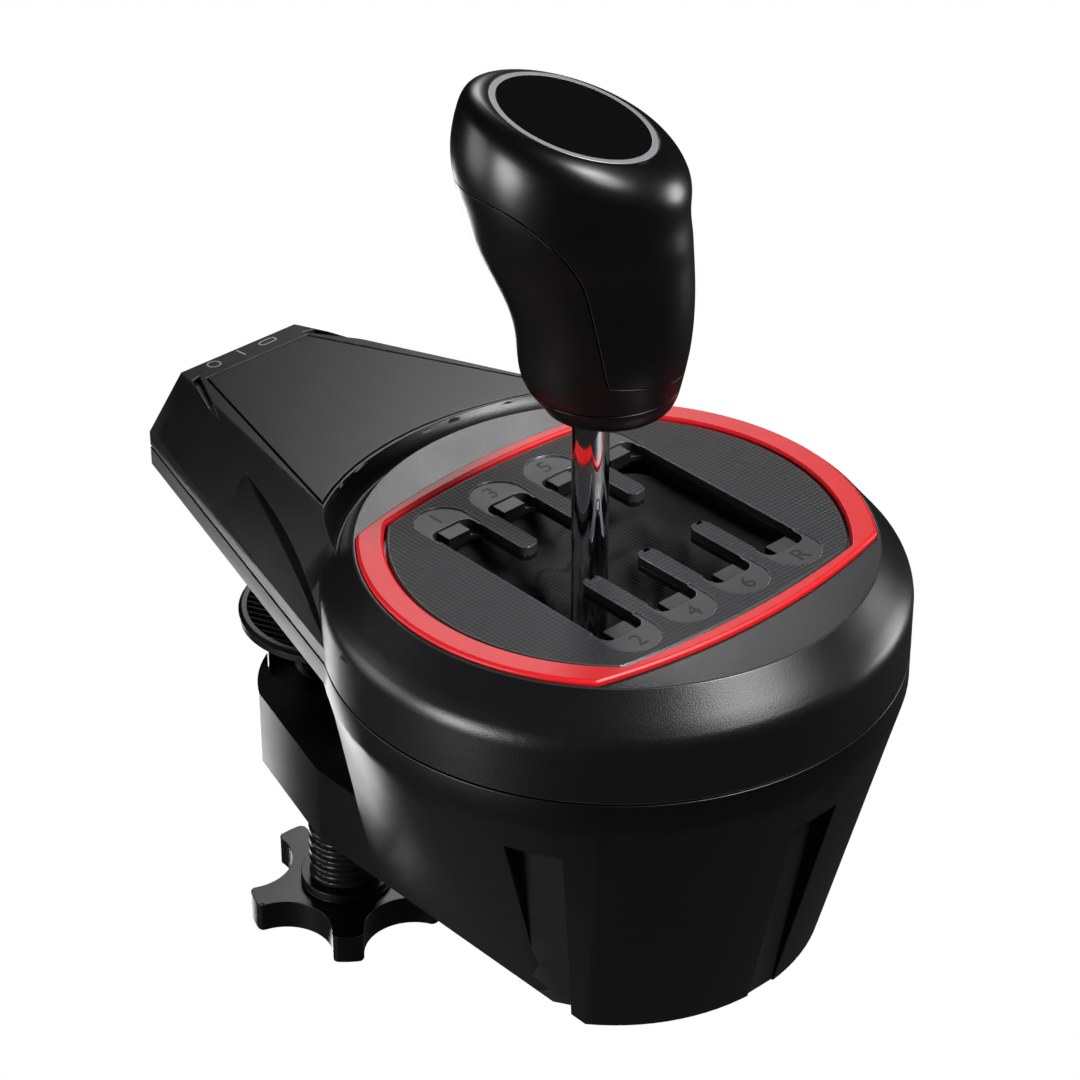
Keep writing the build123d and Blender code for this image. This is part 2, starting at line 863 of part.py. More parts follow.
def desk_pad_form(margin, thickness):
    """The desk pad's shape from the desk face up, grown by a margin."""
    with BuildPart() as form:
        with BuildSketch(body_plane(0)):
            with BuildLine():
                Polyline((-pad_front_half - margin, pad_front + margin),
                         (pad_front_half + margin, pad_front + margin),
                         (pad_rear_half + margin, desk_pad_rear - margin),
                         (-pad_rear_half - margin, desk_pad_rear - margin), close=True)
            make_face()
        extrude(amount=thickness)
        fillet(form.edges().filter_by(Axis.Z), desk_pad_margin / 2)
    return form.part


pad_recess = desk_pad_form(pilot_gap, desk_pad_thickness)
arm_screw_places = [(hand * x, 0) for x in arm_screws_x for hand in (-1, 1)]
arm_screw_plane = away_facing_plane(0, bucket_front - wall, arm_screw_z)
arm_holes = bars(arm_screw_plane, arm_screw_places, screw_shank + pilot_gap,
                 wall + arm_screw_grip + pilot_gap)
pocket_bumps = pockets(pocket_wall, pocket_top_drop - pocket_wall, pocket_depth + pocket_wall,
                       pocket_low_depth + pocket_wall)
pocket_cuts = pockets(0, pocket_top_drop, pocket_depth, pocket_low_depth)
outer_rim = tail_outline(-cut_overrun)
inner_rim = tail_outline(seam_depth)
with BuildPart() as seam_groove:
    with BuildSketch(body_plane(seam_z - seam_gap)):
        Circle(body_radius + cut_overrun)
        add(outer_rim)
        Circle(body_radius - seam_depth, mode=Mode.SUBTRACT)
        add(inner_rim, mode=Mode.SUBTRACT)
    extrude(amount=seam_gap)
with BuildPart() as bumps:
    add(pocket_bumps)
    add(bucket_outside, mode=Mode.INTERSECT)
with BuildPart() as lower_shell:
    add(bucket_outside)
    with BuildSketch(body_plane(tail_under_z)):
        Circle(body_radius)
        add(tray_outside)
    extrude(amount=seam_z - tail_under_z)
    add(bucket_inside, mode=Mode.SUBTRACT)
    with BuildSketch(body_plane(floor_z)):
        Circle(body_radius - wall)
        add(tray_inside)
    extrude(amount=seam_z - floor_z, mode=Mode.SUBTRACT)
    add(bumps)
    add(bucket_tubes)
    add(tray_bosses)
    add(board_posts)
    add(pocket_cuts, mode=Mode.SUBTRACT)
    add(seam_groove, mode=Mode.SUBTRACT)
    add(bucket_wells, mode=Mode.SUBTRACT)
    add(pad_recess, mode=Mode.SUBTRACT)
    add(tray_counterbores, mode=Mode.SUBTRACT)
    add(shell_shanks, mode=Mode.SUBTRACT)
    add(frame_pilots, mode=Mode.SUBTRACT)
    add(arm_holes, mode=Mode.SUBTRACT)
write(lower_shell, "lower_shell")

# Rubber pad under the tail
pad_shape = desk_pad_form(0, desk_pad_thickness)
with BuildPart() as desk_pad:
    add(pad_shape)
write(desk_pad, "desk_pad")

# Clamp arm
mouth_middle = (arm_mouth_rear + arm_mouth_front) / 2
with BuildPart() as clamp_arm:
    with BuildSketch(body_plane(bucket_low_z)):
        with BuildLine():
            Polyline((arm_nose_half, arm_nose_y), (bucket_half, arm_flare_y), (bucket_half, bucket_front),
                     (-bucket_half, bucket_front), (-bucket_half, arm_flare_y), (-arm_nose_half, arm_nose_y))
            ThreePointArc((-arm_nose_half, arm_nose_y), (0, arm_nose_end), (arm_nose_half, arm_nose_y))
        make_face()
    extrude(amount=arm_thickness)
    with BuildSketch(Plane(origin=(0, mouth_middle - screw_reach, arm_top_z))):
        RectangleRounded(2 * arm_mouth_half, arm_mouth_front - arm_mouth_rear, arm_mouth_round)
    extrude(amount=-arm_mouth_depth, mode=Mode.SUBTRACT)
    with BuildSketch(Plane(origin=(0, 0, bucket_low_z))):
        Circle(nut_radius + fit_gap)
    extrude(amount=arm_thickness, mode=Mode.SUBTRACT)
    add(arm_holes, mode=Mode.SUBTRACT)
write(clamp_arm, "clamp_arm")

# Screws that hold the arm to the bucket's front wall
arm_screw_group = screws(arm_screw_plane, arm_screw_places, wall + arm_screw_grip)
with BuildPart() as arm_screws:
    add(arm_screw_group)
write(arm_screws, "arm_screws")

# Nut in the arm
with BuildPart() as clamp_nut:
    with BuildSketch(Plane(origin=(0, 0, bucket_low_z))):
        Circle(nut_radius)
        Circle(screw_radius + running_gap, mode=Mode.SUBTRACT)
    extrude(amount=arm_thickness - arm_mouth_depth)
write(clamp_nut, "clamp_nut")

# Clamp screw with a grooved neck for the pad
star_top_z = bucket_low_z - star_drop
hub_low_z = -pad_drop - pad_plate - pad_hub
shank_top_z = hub_low_z - neck_shoulder
with BuildPart() as clamp_screw:
    with BuildSketch(Plane(origin=(0, 0, star_top_z))):
        Circle(screw_radius)
    extrude(amount=shank_top_z - star_top_z)
    with BuildSketch(Plane(origin=(0, 0, shank_top_z))):
        Circle(screw_neck_radius)
    extrude(amount=neck_shoulder + pad_neck_depth - neck_top_gap)
    with BuildSketch(Plane(origin=(0, 0, clip_z - neck_groove_gap))):
        Circle(screw_neck_radius)
        Circle(screw_neck_radius - neck_groove_depth, mode=Mode.SUBTRACT)
    extrude(amount=clip_thickness + 2 * neck_groove_gap, mode=Mode.SUBTRACT)
write(clamp_screw, "clamp_screw")

# Star knob
lobe_step = 360 / star_lobes
with BuildPart() as star_knob:
    with BuildSketch(Plane(origin=(0, 0, star_top_z - star_thickness))) as star_outline:
        Circle(star_radius)
        with PolarLocations(star_flute_reach, star_lobes, start_angle=star_turn + lobe_step / 2):
            Circle(star_flute_radius, mode=Mode.SUBTRACT)
        fillet(star_outline.vertices(), star_tip_round)
    extrude(amount=star_thickness)
    with BuildSketch(Plane(origin=(0, 0, star_top_z))):
        Circle(star_collar_radius)
    extrude(amount=star_collar)
    with BuildSketch(Plane(origin=(0, 0, star_top_z))):
        Circle(screw_radius + fit_gap)
    extrude(amount=star_collar, mode=Mode.SUBTRACT)
write(star_knob, "star_knob")

# Pressure pad on the screw's neck
with BuildPart() as pressure_pad:
    with BuildSketch(Plane(origin=(0, 0, hub_low_z))):
        Circle(pad_hub_radius)
    extrude(amount=pad_hub)
    with BuildSketch(Plane(origin=(0, 0, hub_low_z + pad_hub))):
        Circle(pad_radius)
    extrude(amount=pad_plate)
    chamfer(pressure_pad.faces().sort_by(Axis.Z)[-1].edges(), pad_rim)
    with BuildSketch(Plane(origin=(0, 0, -pad_drop))):
        Circle(pad_radius - pad_rim_width)
    extrude(amount=-pad_face_thickness, mode=Mode.SUBTRACT)
    with BuildSketch(Plane(origin=(0, 0, hub_low_z))):
        Circle(screw_neck_radius + running_gap)
    extrude(amount=pad_neck_depth, mode=Mode.SUBTRACT)
    with BuildSketch(Plane(origin=(0, 0, clip_z))):
        Circle(clip_radius)
    extrude(amount=clip_thickness, mode=Mode.SUBTRACT)
write(pressure_pad, "pressure_pad")

# Gripping face let into the pad
with BuildPart() as pad_face:
    with BuildSketch(Plane(origin=(0, 0, -pad_drop - pad_face_thickness))):
        Circle(pad_radius - pad_rim_width)
    extrude(amount=pad_face_thickness)
write(pad_face, "pad_face")

# Clip that keeps the neck in the pad
with BuildPart() as pad_clip:
    with BuildSketch(Plane(origin=(0, 0, clip_z))):
        Circle(clip_radius)
        Circle(screw_neck_radius - neck_groove_depth + running_gap, mode=Mode.SUBTRACT)
    extrude(amount=clip_thickness)
write(pad_clip, "pad_clip")

# Gimbal frame: a plate with two uprights
with BuildPart() as gimbal_frame:
    with BuildSketch(lever_plane(frame_z)):
        RectangleRounded(2 * frame_half_x, 2 * frame_half_y, frame_round)
    extrude(amount=frame_plate)
    with BuildSketch(front_plane(upright_inner), front_plane(-upright_inner - upright_thickness)):
        with Locations((0, (pivot_z - frame_z - upright_top) / 2)):
            Rectangle(2 * upright_half, pivot_z - frame_z + upright_top)
    extrude(amount=upright_thickness)
    with BuildSketch(front_plane(-frame_half_y)):
        Circle(bush_radius + fit_gap)
    extrude(amount=2 * frame_half_y, mode=Mode.SUBTRACT)
    add(frame_pilots, mode=Mode.SUBTRACT)
write(gimbal_frame, "gimbal_frame")

# Screws of the gimbal frame
frame_screw_group = screws(lever_plane(frame_z + frame_plate).rotated((180, 0, 0)),
                           frame_screw_places, frame_screw_grip)
with BuildPart() as frame_screws:
    add(frame_screw_group)
write(frame_screws, "frame_screws")

# Yoke: a ring that tips left and right
with BuildPart() as yoke:
    with BuildSketch(lever_plane(pivot_z - yoke_half)):
        RectangleRounded(2 * yoke_outer_x, 2 * yoke_outer_y, yoke_round)
        RectangleRounded(2 * yoke_inner_x, 2 * yoke_inner_y, yoke_round, mode=Mode.SUBTRACT)
    extrude(amount=2 * yoke_half)
    with BuildSketch(front_plane(-yoke_outer_y), front_plane(yoke_outer_y - stub_root)):
        Circle(stub_radius + fit_gap)
    extrude(amount=stub_root, mode=Mode.SUBTRACT)
    with BuildSketch(side_plane(-yoke_outer_x)):
        Circle(axle_radius + fit_gap)
    extrude(amount=2 * yoke_outer_x, mode=Mode.SUBTRACT)
write(yoke, "yoke")

# Stub axles of the yoke
stub_length = upright_inner + upright_thickness - yoke_outer_y + stub_root
with BuildPart() as yoke_axles:
    with BuildSketch(front_plane(yoke_outer_y - stub_root), front_plane(-upright_inner - upright_thickness)):
        Circle(stub_radius)
    extrude(amount=stub_length)
write(yoke_axles, "yoke_axles")

# Flanged bushes in the uprights
with BuildPart() as yoke_bushes:
    with BuildSketch(front_plane(upright_inner), front_plane(-upright_inner - upright_thickness)):
        Circle(bush_radius)
    extrude(amount=upright_thickness)
    with BuildSketch(front_plane(upright_inner - bush_flange), front_plane(-upright_inner)):
        Circle(bush_flange_radius)
    extrude(amount=bush_flange)
    with BuildSketch(front_plane(-frame_half_y)):
        Circle(stub_radius + running_gap)
    extrude(amount=2 * frame_half_y, mode=Mode.SUBTRACT)
write(yoke_bushes, "yoke_bushes")

# Flat spiral springs that bring the yoke back to the middle
with BuildPart() as centring_springs:
    with BuildSketch(front_plane(yoke_outer_y + spiral_gap),
                     front_plane(-yoke_outer_y - spiral_gap - spiral_width)):
        Circle(spiral_radius)
        Circle(spiral_inner, mode=Mode.SUBTRACT)
    extrude(amount=spiral_width)
write(centring_springs, "centring_springs")

# Axle across the yoke
with BuildPart() as shift_axle:
    with BuildSketch(side_plane(-axle_half)):
        Circle(axle_radius)
    extrude(amount=2 * axle_half)
write(shift_axle, "shift_axle")

# Clips on the axle's ends
with BuildPart() as axle_clips:
    with BuildSketch(side_plane(yoke_outer_x), side_plane(-yoke_outer_x - clip_width)):
        Circle(block_bush_radius)
        Circle(axle_radius + fit_gap, mode=Mode.SUBTRACT)
    extrude(amount=clip_width)
write(axle_clips, "axle_clips")

# Pivot block that carries the rod
with BuildPart() as pivot_block:
    with BuildSketch(lever_plane(pivot_z - block_low)):
        RectangleRounded(2 * block_half_x, 2 * block_half_y, block_round)
    extrude(amount=block_low + block_high)
    with BuildSketch(lever_plane(pivot_z + block_high)):
        Circle(block_boss_radius)
    extrude(amount=block_boss_top - block_high)
    with BuildSketch(lever_plane(pivot_z - block_foot)):
        Circle(block_foot_radius)
    extrude(amount=block_foot - block_low)
    with BuildSketch(lever_plane(pivot_z + rod_seat)):
        Circle(rod_radius + fit_gap)
    extrude(amount=block_boss_top, mode=Mode.SUBTRACT)
    with BuildSketch(lever_plane(pivot_z - block_foot)):
        Circle(plunger_radius + running_gap)
    extrude(amount=plunger_bore, mode=Mode.SUBTRACT)
    with BuildSketch(side_plane(-block_half_x)):
        Circle(block_bore_radius)
    extrude(amount=2 * block_half_x, mode=Mode.SUBTRACT)
    with BuildSketch(side_plane(-block_half_x), side_plane(block_half_x - block_bush_length)):
        Circle(block_bush_radius + fit_gap)
    extrude(amount=block_bush_length, mode=Mode.SUBTRACT)
write(pivot_block, "pivot_block")

# Flanged bushes in the block
with BuildPart() as block_bushes:
    with BuildSketch(side_plane(-block_half_x), side_plane(block_half_x - block_bush_length)):
        Circle(block_bush_radius)
    extrude(amount=block_bush_length)
    with BuildSketch(side_plane(-block_half_x - block_bush_flange), side_plane(block_half_x)):
        Circle(block_bush_flange_radius)
    extrude(amount=block_bush_flange)
    with BuildSketch(side_plane(-yoke_inner_x)):
        Circle(axle_radius + running_gap)
    extrude(amount=2 * yoke_inner_x, mode=Mode.SUBTRACT)
write(block_bushes, "block_bushes")

# Lever rod
rod_low_z = pivot_z + rod_seat
with BuildPart() as lever_rod:
    with BuildSketch(lever_plane(rod_low_z)):
        Circle(rod_radius)
    extrude(amount=gate_top + rod_top - rod_low_z)
write(lever_rod, "lever_rod")

# Lock nut under the grip
with BuildPart() as lever_lock_nut:
    with BuildSketch(lever_plane(gate_top + nut_low)):
        RegularPolygon(nut_across / 2, 6, major_radius=False)
        Circle(rod_radius + fit_gap, mode=Mode.SUBTRACT)
    extrude(amount=nut_height)
write(lever_lock_nut, "lever_lock_nut")

# Core of the grip on the rod
with BuildPart() as knob_core:
    with BuildSketch(lever_plane(gate_top + knob_core_low)):
        Circle(knob_core_radius)
    extrude(amount=knob_core_length)
    with BuildSketch(lever_plane(gate_top + knob_core_low)):
        Circle(rod_radius + fit_gap)
    extrude(amount=rod_top - knob_core_low, mode=Mode.SUBTRACT)
write(knob_core, "knob_core")

# Grip: one body cut into a collar, a main shell and a side shell
grip = knob_form()
left_of_line = parting_form(0)
side_limit = parting_form(parting_gap)
top_height, top_shift, top_long, top_cross, top_lean = knob_sections[-1]
crown_plane = knob_plane(top_height, top_shift, top_lean)
core_hole = bars(lever_plane(gate_top + knob_low), centre, knob_core_radius + fit_gap,
                 knob_core_low + knob_core_length - knob_low + fit_gap)
nut_hole = bars(lever_plane(gate_top + knob_low), centre, nut_hole_radius, nut_recess + nut_height + fit_gap)
emblem_hole = bars(crown_plane.offset(cut_overrun), centre, emblem_radius + emblem_gap,
                   -cut_overrun - emblem_thickness)
below_split = block(lever_plane(gate_top + knob_low - cut_overrun), 2 * knob_span, 2 * knob_span,
                    cut_overrun + knob_split_rise, cut_overrun)
below_shells = block(lever_plane(gate_top + knob_low - cut_overrun), 2 * knob_span, 2 * knob_span,
                     cut_overrun + knob_split_rise + parting_gap, cut_overrun)
with BuildPart() as knob_collar:
    add(grip)
    add(below_split, mode=Mode.INTERSECT)
    add(core_hole, mode=Mode.SUBTRACT)
    add(nut_hole, mode=Mode.SUBTRACT)
write(knob_collar, "knob_collar")
with BuildPart() as knob_side_shell:
    add(grip)
    add(side_limit, mode=Mode.INTERSECT)
    add(below_shells, mode=Mode.SUBTRACT)
    add(core_hole, mode=Mode.SUBTRACT)
write(knob_side_shell, "knob_side_shell")
with BuildPart() as knob_main_shell:
    add(grip)
    add(left_of_line, mode=Mode.SUBTRACT)
    add(below_shells, mode=Mode.SUBTRACT)
    add(core_hole, mode=Mode.SUBTRACT)
    add(emblem_hole, mode=Mode.SUBTRACT)
write(knob_main_shell, "knob_main_shell")

# Blank disc and its ring in the grip's crown
with BuildPart() as knob_emblem:
    with BuildSketch(crown_plane.offset(-emblem_thickness)):
        Circle(emblem_radius - emblem_ring_width)
    extrude(amount=emblem_thickness)
write(knob_emblem, "knob_emblem")
with BuildPart() as emblem_ring:
    with BuildSketch(crown_plane.offset(-emblem_thickness)):
        Circle(emblem_radius)
        Circle(emblem_radius - emblem_ring_width, mode=Mode.SUBTRACT)
    extrude(amount=emblem_thickness)
write(emblem_ring, "emblem_ring")

# Cam under the yoke that the plunger rides on
cam_middle = (cam_inner + cam_outer) / 2
cam_reach = math.sin(math.radians(cam_arc_angle)) * cam_outer
with BuildPart() as detent_cam:
    with BuildSketch(side_plane(-cam_half)):
        Circle(cam_outer)
        Circle(cam_inner, mode=Mode.SUBTRACT)
        with Locations((0, -cam_outer)):
            Rectangle(2 * cam_reach, 2 * (cam_outer - yoke_half), mode=Mode.INTERSECT)
    extrude(amount=2 * cam_half)
    with BuildSketch(side_plane(-cam_half), side_plane(cam_half - cam_leg)):
        with Locations((0, -(yoke_half + cam_middle) / 2)):
            Rectangle(2 * block_foot_radius, cam_middle - yoke_half)
    extrude(amount=cam_leg)
write(detent_cam, "detent_cam")

# Plunger in the block's foot, and the spring behind it
plunger_low = cam_inner - plunger_gap
with BuildPart() as detent_plunger:
    with BuildSketch(lever_plane(pivot_z - plunger_low)):
        Circle(plunger_radius)
    extrude(amount=plunger_length)
    fillet(detent_plunger.faces().sort_by(Axis.Z)[0].edges(), plunger_radius / 2)
write(detent_plunger, "detent_plunger")
with BuildPart() as detent_spring:
    with BuildSketch(lever_plane(pivot_z - plunger_low + plunger_length)):
        Circle(detent_coil_radius)
        Circle(detent_coil_radius - detent_coil_wall, mode=Mode.SUBTRACT)
    extrude(amount=plunger_low - plunger_length - block_foot + plunger_bore)
write(detent_spring, "detent_spring")

# Angle sensors and their magnets
with BuildPart() as select_sensor_board:
    with BuildSketch(front_plane(sensor_reach)):
        with Locations((0, (pivot_z - frame_z - frame_plate - sensor_top) / 2)):
            Rectangle(sensor_board, pivot_z - frame_z - frame_plate + sensor_top)
    extrude(amount=sensor_thickness)
write(select_sensor_board, "select_sensor_board")
with BuildPart() as yoke_magnet:
    with BuildSketch(front_plane(upright_inner + upright_thickness)):
        Circle(magnet_radius)
    extrude(amount=magnet_length)
write(yoke_magnet, "yoke_magnet")
with BuildPart() as shift_sensor_board:
    with BuildSketch(front_plane(yoke_inner_y - sensor_thickness)):
        Rectangle(sensor_board, 2 * shift_board_half)
    extrude(amount=sensor_thickness)
write(shift_sensor_board, "shift_sensor_board")
with BuildPart() as lever_magnet:
    with BuildSketch(front_plane(block_half_y)):
        Circle(magnet_radius)
    extrude(amount=magnet_length)
write(lever_magnet, "lever_magnet")

# Main board with its chips and two sockets
board_plane = Plane(origin=(0, board_middle_y - screw_reach, board_z))
with BuildPart() as main_board:
    with BuildSketch(board_plane):
        Rectangle(board_x, board_y)
    extrude(amount=board_thickness)
write(main_board, "main_board")
with BuildPart() as board_chips:
    with BuildSketch(board_plane.offset(board_thickness)):
        with Locations(*chips):
            Rectangle(chip_size, chip_size)
    extrude(amount=chip_height)
write(board_chips, "board_chips")
with BuildPart() as usb_c_port:
    with BuildSketch(rear_facing_plane(usb_x, port_face_y, usb_z)):
        SlotOverall(usb_width, usb_height)
    extrude(amount=usb_depth)
    with BuildSketch(rear_facing_plane(usb_x, port_face_y, usb_z)):
        SlotOverall(usb_width - 2 * port_gap, usb_height - 2 * port_gap)
        Rectangle(usb_width * 2 / 3, port_gap * 2, mode=Mode.SUBTRACT)
    extrude(amount=usb_depth - port_recess, mode=Mode.SUBTRACT)
write(usb_c_port, "usb_c_port")
with BuildPart() as din_port:
    with BuildSketch(rear_facing_plane(din_x, tail_front - wall - port_gap, din_z)):
        Rectangle(din_width, din_height)
    extrude(amount=din_depth)
    with BuildSketch(rear_facing_plane(din_x, port_face_y, din_z)):
        Circle(din_radius)
    extrude(amount=wall)
    with BuildSketch(rear_facing_plane(din_x, port_face_y, din_z)):
        Circle(din_radius - port_gap * 2)
        Circle(din_radius / 2, mode=Mode.SUBTRACT)
    extrude(amount=din_depth / 2, mode=Mode.SUBTRACT)
write(din_port, "din_port")

# Screws of the shells and of the boot frame
tray_screw_group = screws(body_plane(tray_head_z), tray_screw_places, screw_grip + screw_head_height)
bucket_screw_group = screws(body_plane(bucket_head_z), bucket_screw_places, screw_grip + screw_head_height)
with BuildPart() as shell_screws:
    add(tray_screw_group)
    add(bucket_screw_group)
write(shell_screws, "shell_screws")
gate_screw_group = screws(body_plane(flange_z), gate_screw_places, gate_screw_grip - pilot_gap)
with BuildPart() as gate_screws:
    add(gate_screw_group)
write(gate_screws, "gate_screws")
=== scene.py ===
"""A desk-clamped H-pattern shifter for driving games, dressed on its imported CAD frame.

Lengths are metres in the row frame: the origin is on the clamp screw's axis at the desk
face, +X is the driver's right, +Y points away along the tail and +Z is up.
"""

import json
import logging
import math
from collections.abc import Sequence
from dataclasses import dataclass, field
from enum import Enum

import bpy
import numpy as np
from mathutils import Matrix, Vector

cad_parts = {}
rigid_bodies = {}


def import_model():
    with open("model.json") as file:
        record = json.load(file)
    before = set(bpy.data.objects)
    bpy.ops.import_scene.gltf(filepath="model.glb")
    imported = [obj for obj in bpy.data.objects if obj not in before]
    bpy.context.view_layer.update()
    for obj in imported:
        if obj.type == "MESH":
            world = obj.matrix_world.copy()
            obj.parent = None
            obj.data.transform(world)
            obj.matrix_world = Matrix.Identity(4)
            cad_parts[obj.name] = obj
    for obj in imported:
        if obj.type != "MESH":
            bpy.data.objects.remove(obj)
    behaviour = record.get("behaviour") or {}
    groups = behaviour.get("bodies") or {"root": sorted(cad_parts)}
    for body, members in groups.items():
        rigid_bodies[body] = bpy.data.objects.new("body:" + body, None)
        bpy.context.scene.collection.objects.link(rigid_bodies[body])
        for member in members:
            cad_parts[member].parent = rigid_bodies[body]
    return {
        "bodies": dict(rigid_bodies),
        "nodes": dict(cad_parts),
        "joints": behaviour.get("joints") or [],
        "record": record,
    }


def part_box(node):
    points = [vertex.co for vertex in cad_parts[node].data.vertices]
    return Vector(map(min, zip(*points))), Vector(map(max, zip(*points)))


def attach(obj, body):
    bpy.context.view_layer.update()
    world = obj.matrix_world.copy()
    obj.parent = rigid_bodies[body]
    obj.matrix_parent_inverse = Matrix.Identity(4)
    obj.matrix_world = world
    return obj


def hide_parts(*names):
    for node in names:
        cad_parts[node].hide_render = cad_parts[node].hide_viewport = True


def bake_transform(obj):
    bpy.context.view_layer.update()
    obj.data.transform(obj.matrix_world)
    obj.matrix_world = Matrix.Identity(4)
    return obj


LOG = logging.getLogger("shifter")

MM = 0.001
TURN = 2.0 * math.pi
# Middle of the gate's top, the resting lever's X, its pivot's height and the label tabs' height
GATE = Vector((0.0, -0.115, 0.036))
LEVER_X = -0.0095
PIVOT_Z = -0.048
TAB_Z = 0.0358


class Body(Enum):
    """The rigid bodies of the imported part."""

    BASE = "base"
    PAD = "pad"
    SCREW = "screw"
    YOKE = "yoke"
    LEVER = "lever"


class Surface(Enum):
    """Kinds of relief that a finish can carry."""

    PLAIN = "plain"
    GRAIN = "grain"
    DIAMOND = "diamond"
    BRUSHED = "brushed"
    WOVEN = "woven"


@dataclass(frozen=True)
class Finish:
    """How one material looks.

    Attributes:
        slot: The record's material slot.
        colour: Linear base colour.
        roughness: Mean roughness.
        metallic: 1 for bare metal.
        coat: Weight of a clear layer on top.
        surface: Kind of relief.
        scale: Relief cells per metre.
        height: Depth of the relief in metres.
        spread: How far roughness wanders over the piece.
        mottle: How far the colour wanders, as a share of it.
    """

    slot: str
    colour: tuple[float, float, float]
    roughness: float
    metallic: float = 0.0
    coat: float = 0.0
    surface: Surface = Surface.PLAIN
    scale: float = 900.0
    height: float = 0.0
    spread: float = 0.04
    mottle: float = 0.12


FINISHES: dict[str, Finish] = {
    finish.slot: finish
    for finish in (
        Finish("shell_black", (0.0055, 0.0055, 0.006), 0.31, surface=Surface.GRAIN, scale=2600.0,
               height=4.5e-5),
        Finish("bucket_black", (0.0014, 0.0014, 0.0016), 0.34, surface=Surface.GRAIN, scale=3200.0,
               height=1e-5),
        Finish("gate_grey", (0.034, 0.035, 0.037), 0.44, surface=Surface.DIAMOND, scale=760.0,
               height=9e-5),
        Finish("ring_red", (0.8, 0.012, 0.018), 0.4, spread=0.02),
        Finish("liner_black", (0.006, 0.006, 0.0065), 0.42, surface=Surface.GRAIN, scale=1500.0,
               height=1.5e-5),
        Finish("boot_fabric", (0.014, 0.014, 0.015), 0.8, surface=Surface.WOVEN, scale=1000.0,
               height=1.6e-4),
        Finish("rubber_black", (0.012, 0.012, 0.012), 0.55, surface=Surface.GRAIN, scale=1500.0,
               height=3e-5),
        Finish("screw_steel", (0.45, 0.46, 0.48), 0.3, 1.0, surface=Surface.BRUSHED, scale=700.0,
               height=6e-6),
        Finish("thread_black", (0.012, 0.012, 0.0125), 0.28, 0.35, surface=Surface.GRAIN,
               scale=2400.0, height=6e-6),
        Finish("frame_steel", (0.33, 0.34, 0.36), 0.38, 1.0, surface=Surface.BRUSHED, scale=500.0,
               height=6e-6),
        Finish("bush_brass", (0.62, 0.42, 0.13), 0.26, 1.0, surface=Surface.BRUSHED, scale=900.0,
               height=4e-6),
        Finish("board_green", (0.01, 0.085, 0.03), 0.35, coat=0.4, surface=Surface.GRAIN,
               scale=1400.0, height=8e-6),
        Finish("chip_black", (0.01, 0.01, 0.011), 0.5, surface=Surface.GRAIN, scale=4000.0,
               height=5e-6),
        Finish("yoke_alloy", (0.52, 0.54, 0.56), 0.42, 1.0, surface=Surface.GRAIN, scale=1800.0,
               height=2e-5),
        Finish("rod_chrome", (0.86, 0.87, 0.88), 0.05, 1.0, spread=0.01, mottle=0.02),
        Finish("knob_black", (0.0025, 0.0025, 0.0028), 0.29, surface=Surface.GRAIN, scale=3600.0,
               height=8e-6),
        Finish("emblem_black", (0.003, 0.003, 0.0034), 0.07, coat=0.6, spread=0.01),
        Finish("emblem_silver", (0.56, 0.56, 0.57), 0.42, 0.6, spread=0.02),
        Finish("print_grey", (0.42, 0.43, 0.44), 0.5),
        Finish("number_black", (0.006, 0.006, 0.006), 0.5),
        # Lighter finishes that some nodes' small roundings get: painted edge highlights.
        Finish("edge_bright", (0.19, 0.195, 0.2), 0.3, 0.7),
        Finish("painted_soft_edge_highlight", (0.07, 0.07, 0.072), 0.28, 0.5),
        # Darker, matte finish of the faces inside the bucket's pockets: painted shade in the
        # recesses.
        Finish("pocket_painted_shade", (0.0006, 0.0006, 0.0007), 0.7, surface=Surface.GRAIN, scale=3200.0,
               height=1e-5),
    )
}

# Width of the small rounding on a CAD node's edges, in millimetres
ROUNDINGS: dict[str, float] = {
    "top_shell": 0.3,
    "lower_shell": 0.3,
    "star_knob": 0.2,
    "gate_ring": 0.25,
    "gate_plate": 0.18,
    "tail_panel": 0.15,
    "gate_liner": 0.2,
    "knob_main_shell": 0.15,
    "knob_side_shell": 0.15,
    "knob_collar": 0.22,
    "emblem_ring": 0.15,
}


class Socket:
    """One output of a shader graph that plain operators combine."""

    def __init__(self, graph: "Graph", output: bpy.types.NodeSocket) -> None:
        self.graph = graph
        self.output = output

    def join(self, operation: str, first: "Socket | float", second: "Socket | float") -> "Socket":
        """A Math node over two values."""
        return self.graph.make("ShaderNodeMath", {0: first, 1: second}, operation=operation)

    def __add__(self, other: "Socket | float") -> "Socket":
        return self.join("ADD", self, other)

    def __radd__(self, other: float) -> "Socket":
        return self.join("ADD", other, self)

    def __sub__(self, other: "Socket | float") -> "Socket":
        return self.join("SUBTRACT", self, other)

    def __rsub__(self, other: float) -> "Socket":
        return self.join("SUBTRACT", other, self)

    def __mul__(self, other: "Socket | float") -> "Socket":
        return self.join("MULTIPLY", self, other)

    def __rmul__(self, other: float) -> "Socket":
        return self.join("MULTIPLY", other, self)

    def __abs__(self) -> "Socket":
        return self.join("ABSOLUTE", self, 0.0)

    def above(self, level: float) -> "Socket":
        """1 where this value is above a level, and 0 elsewhere."""
        return self.join("GREATER_THAN", self, level)

    def sine(self) -> "Socket":
        """The sine of this value."""
        return self.join("SINE", self, 0.0)


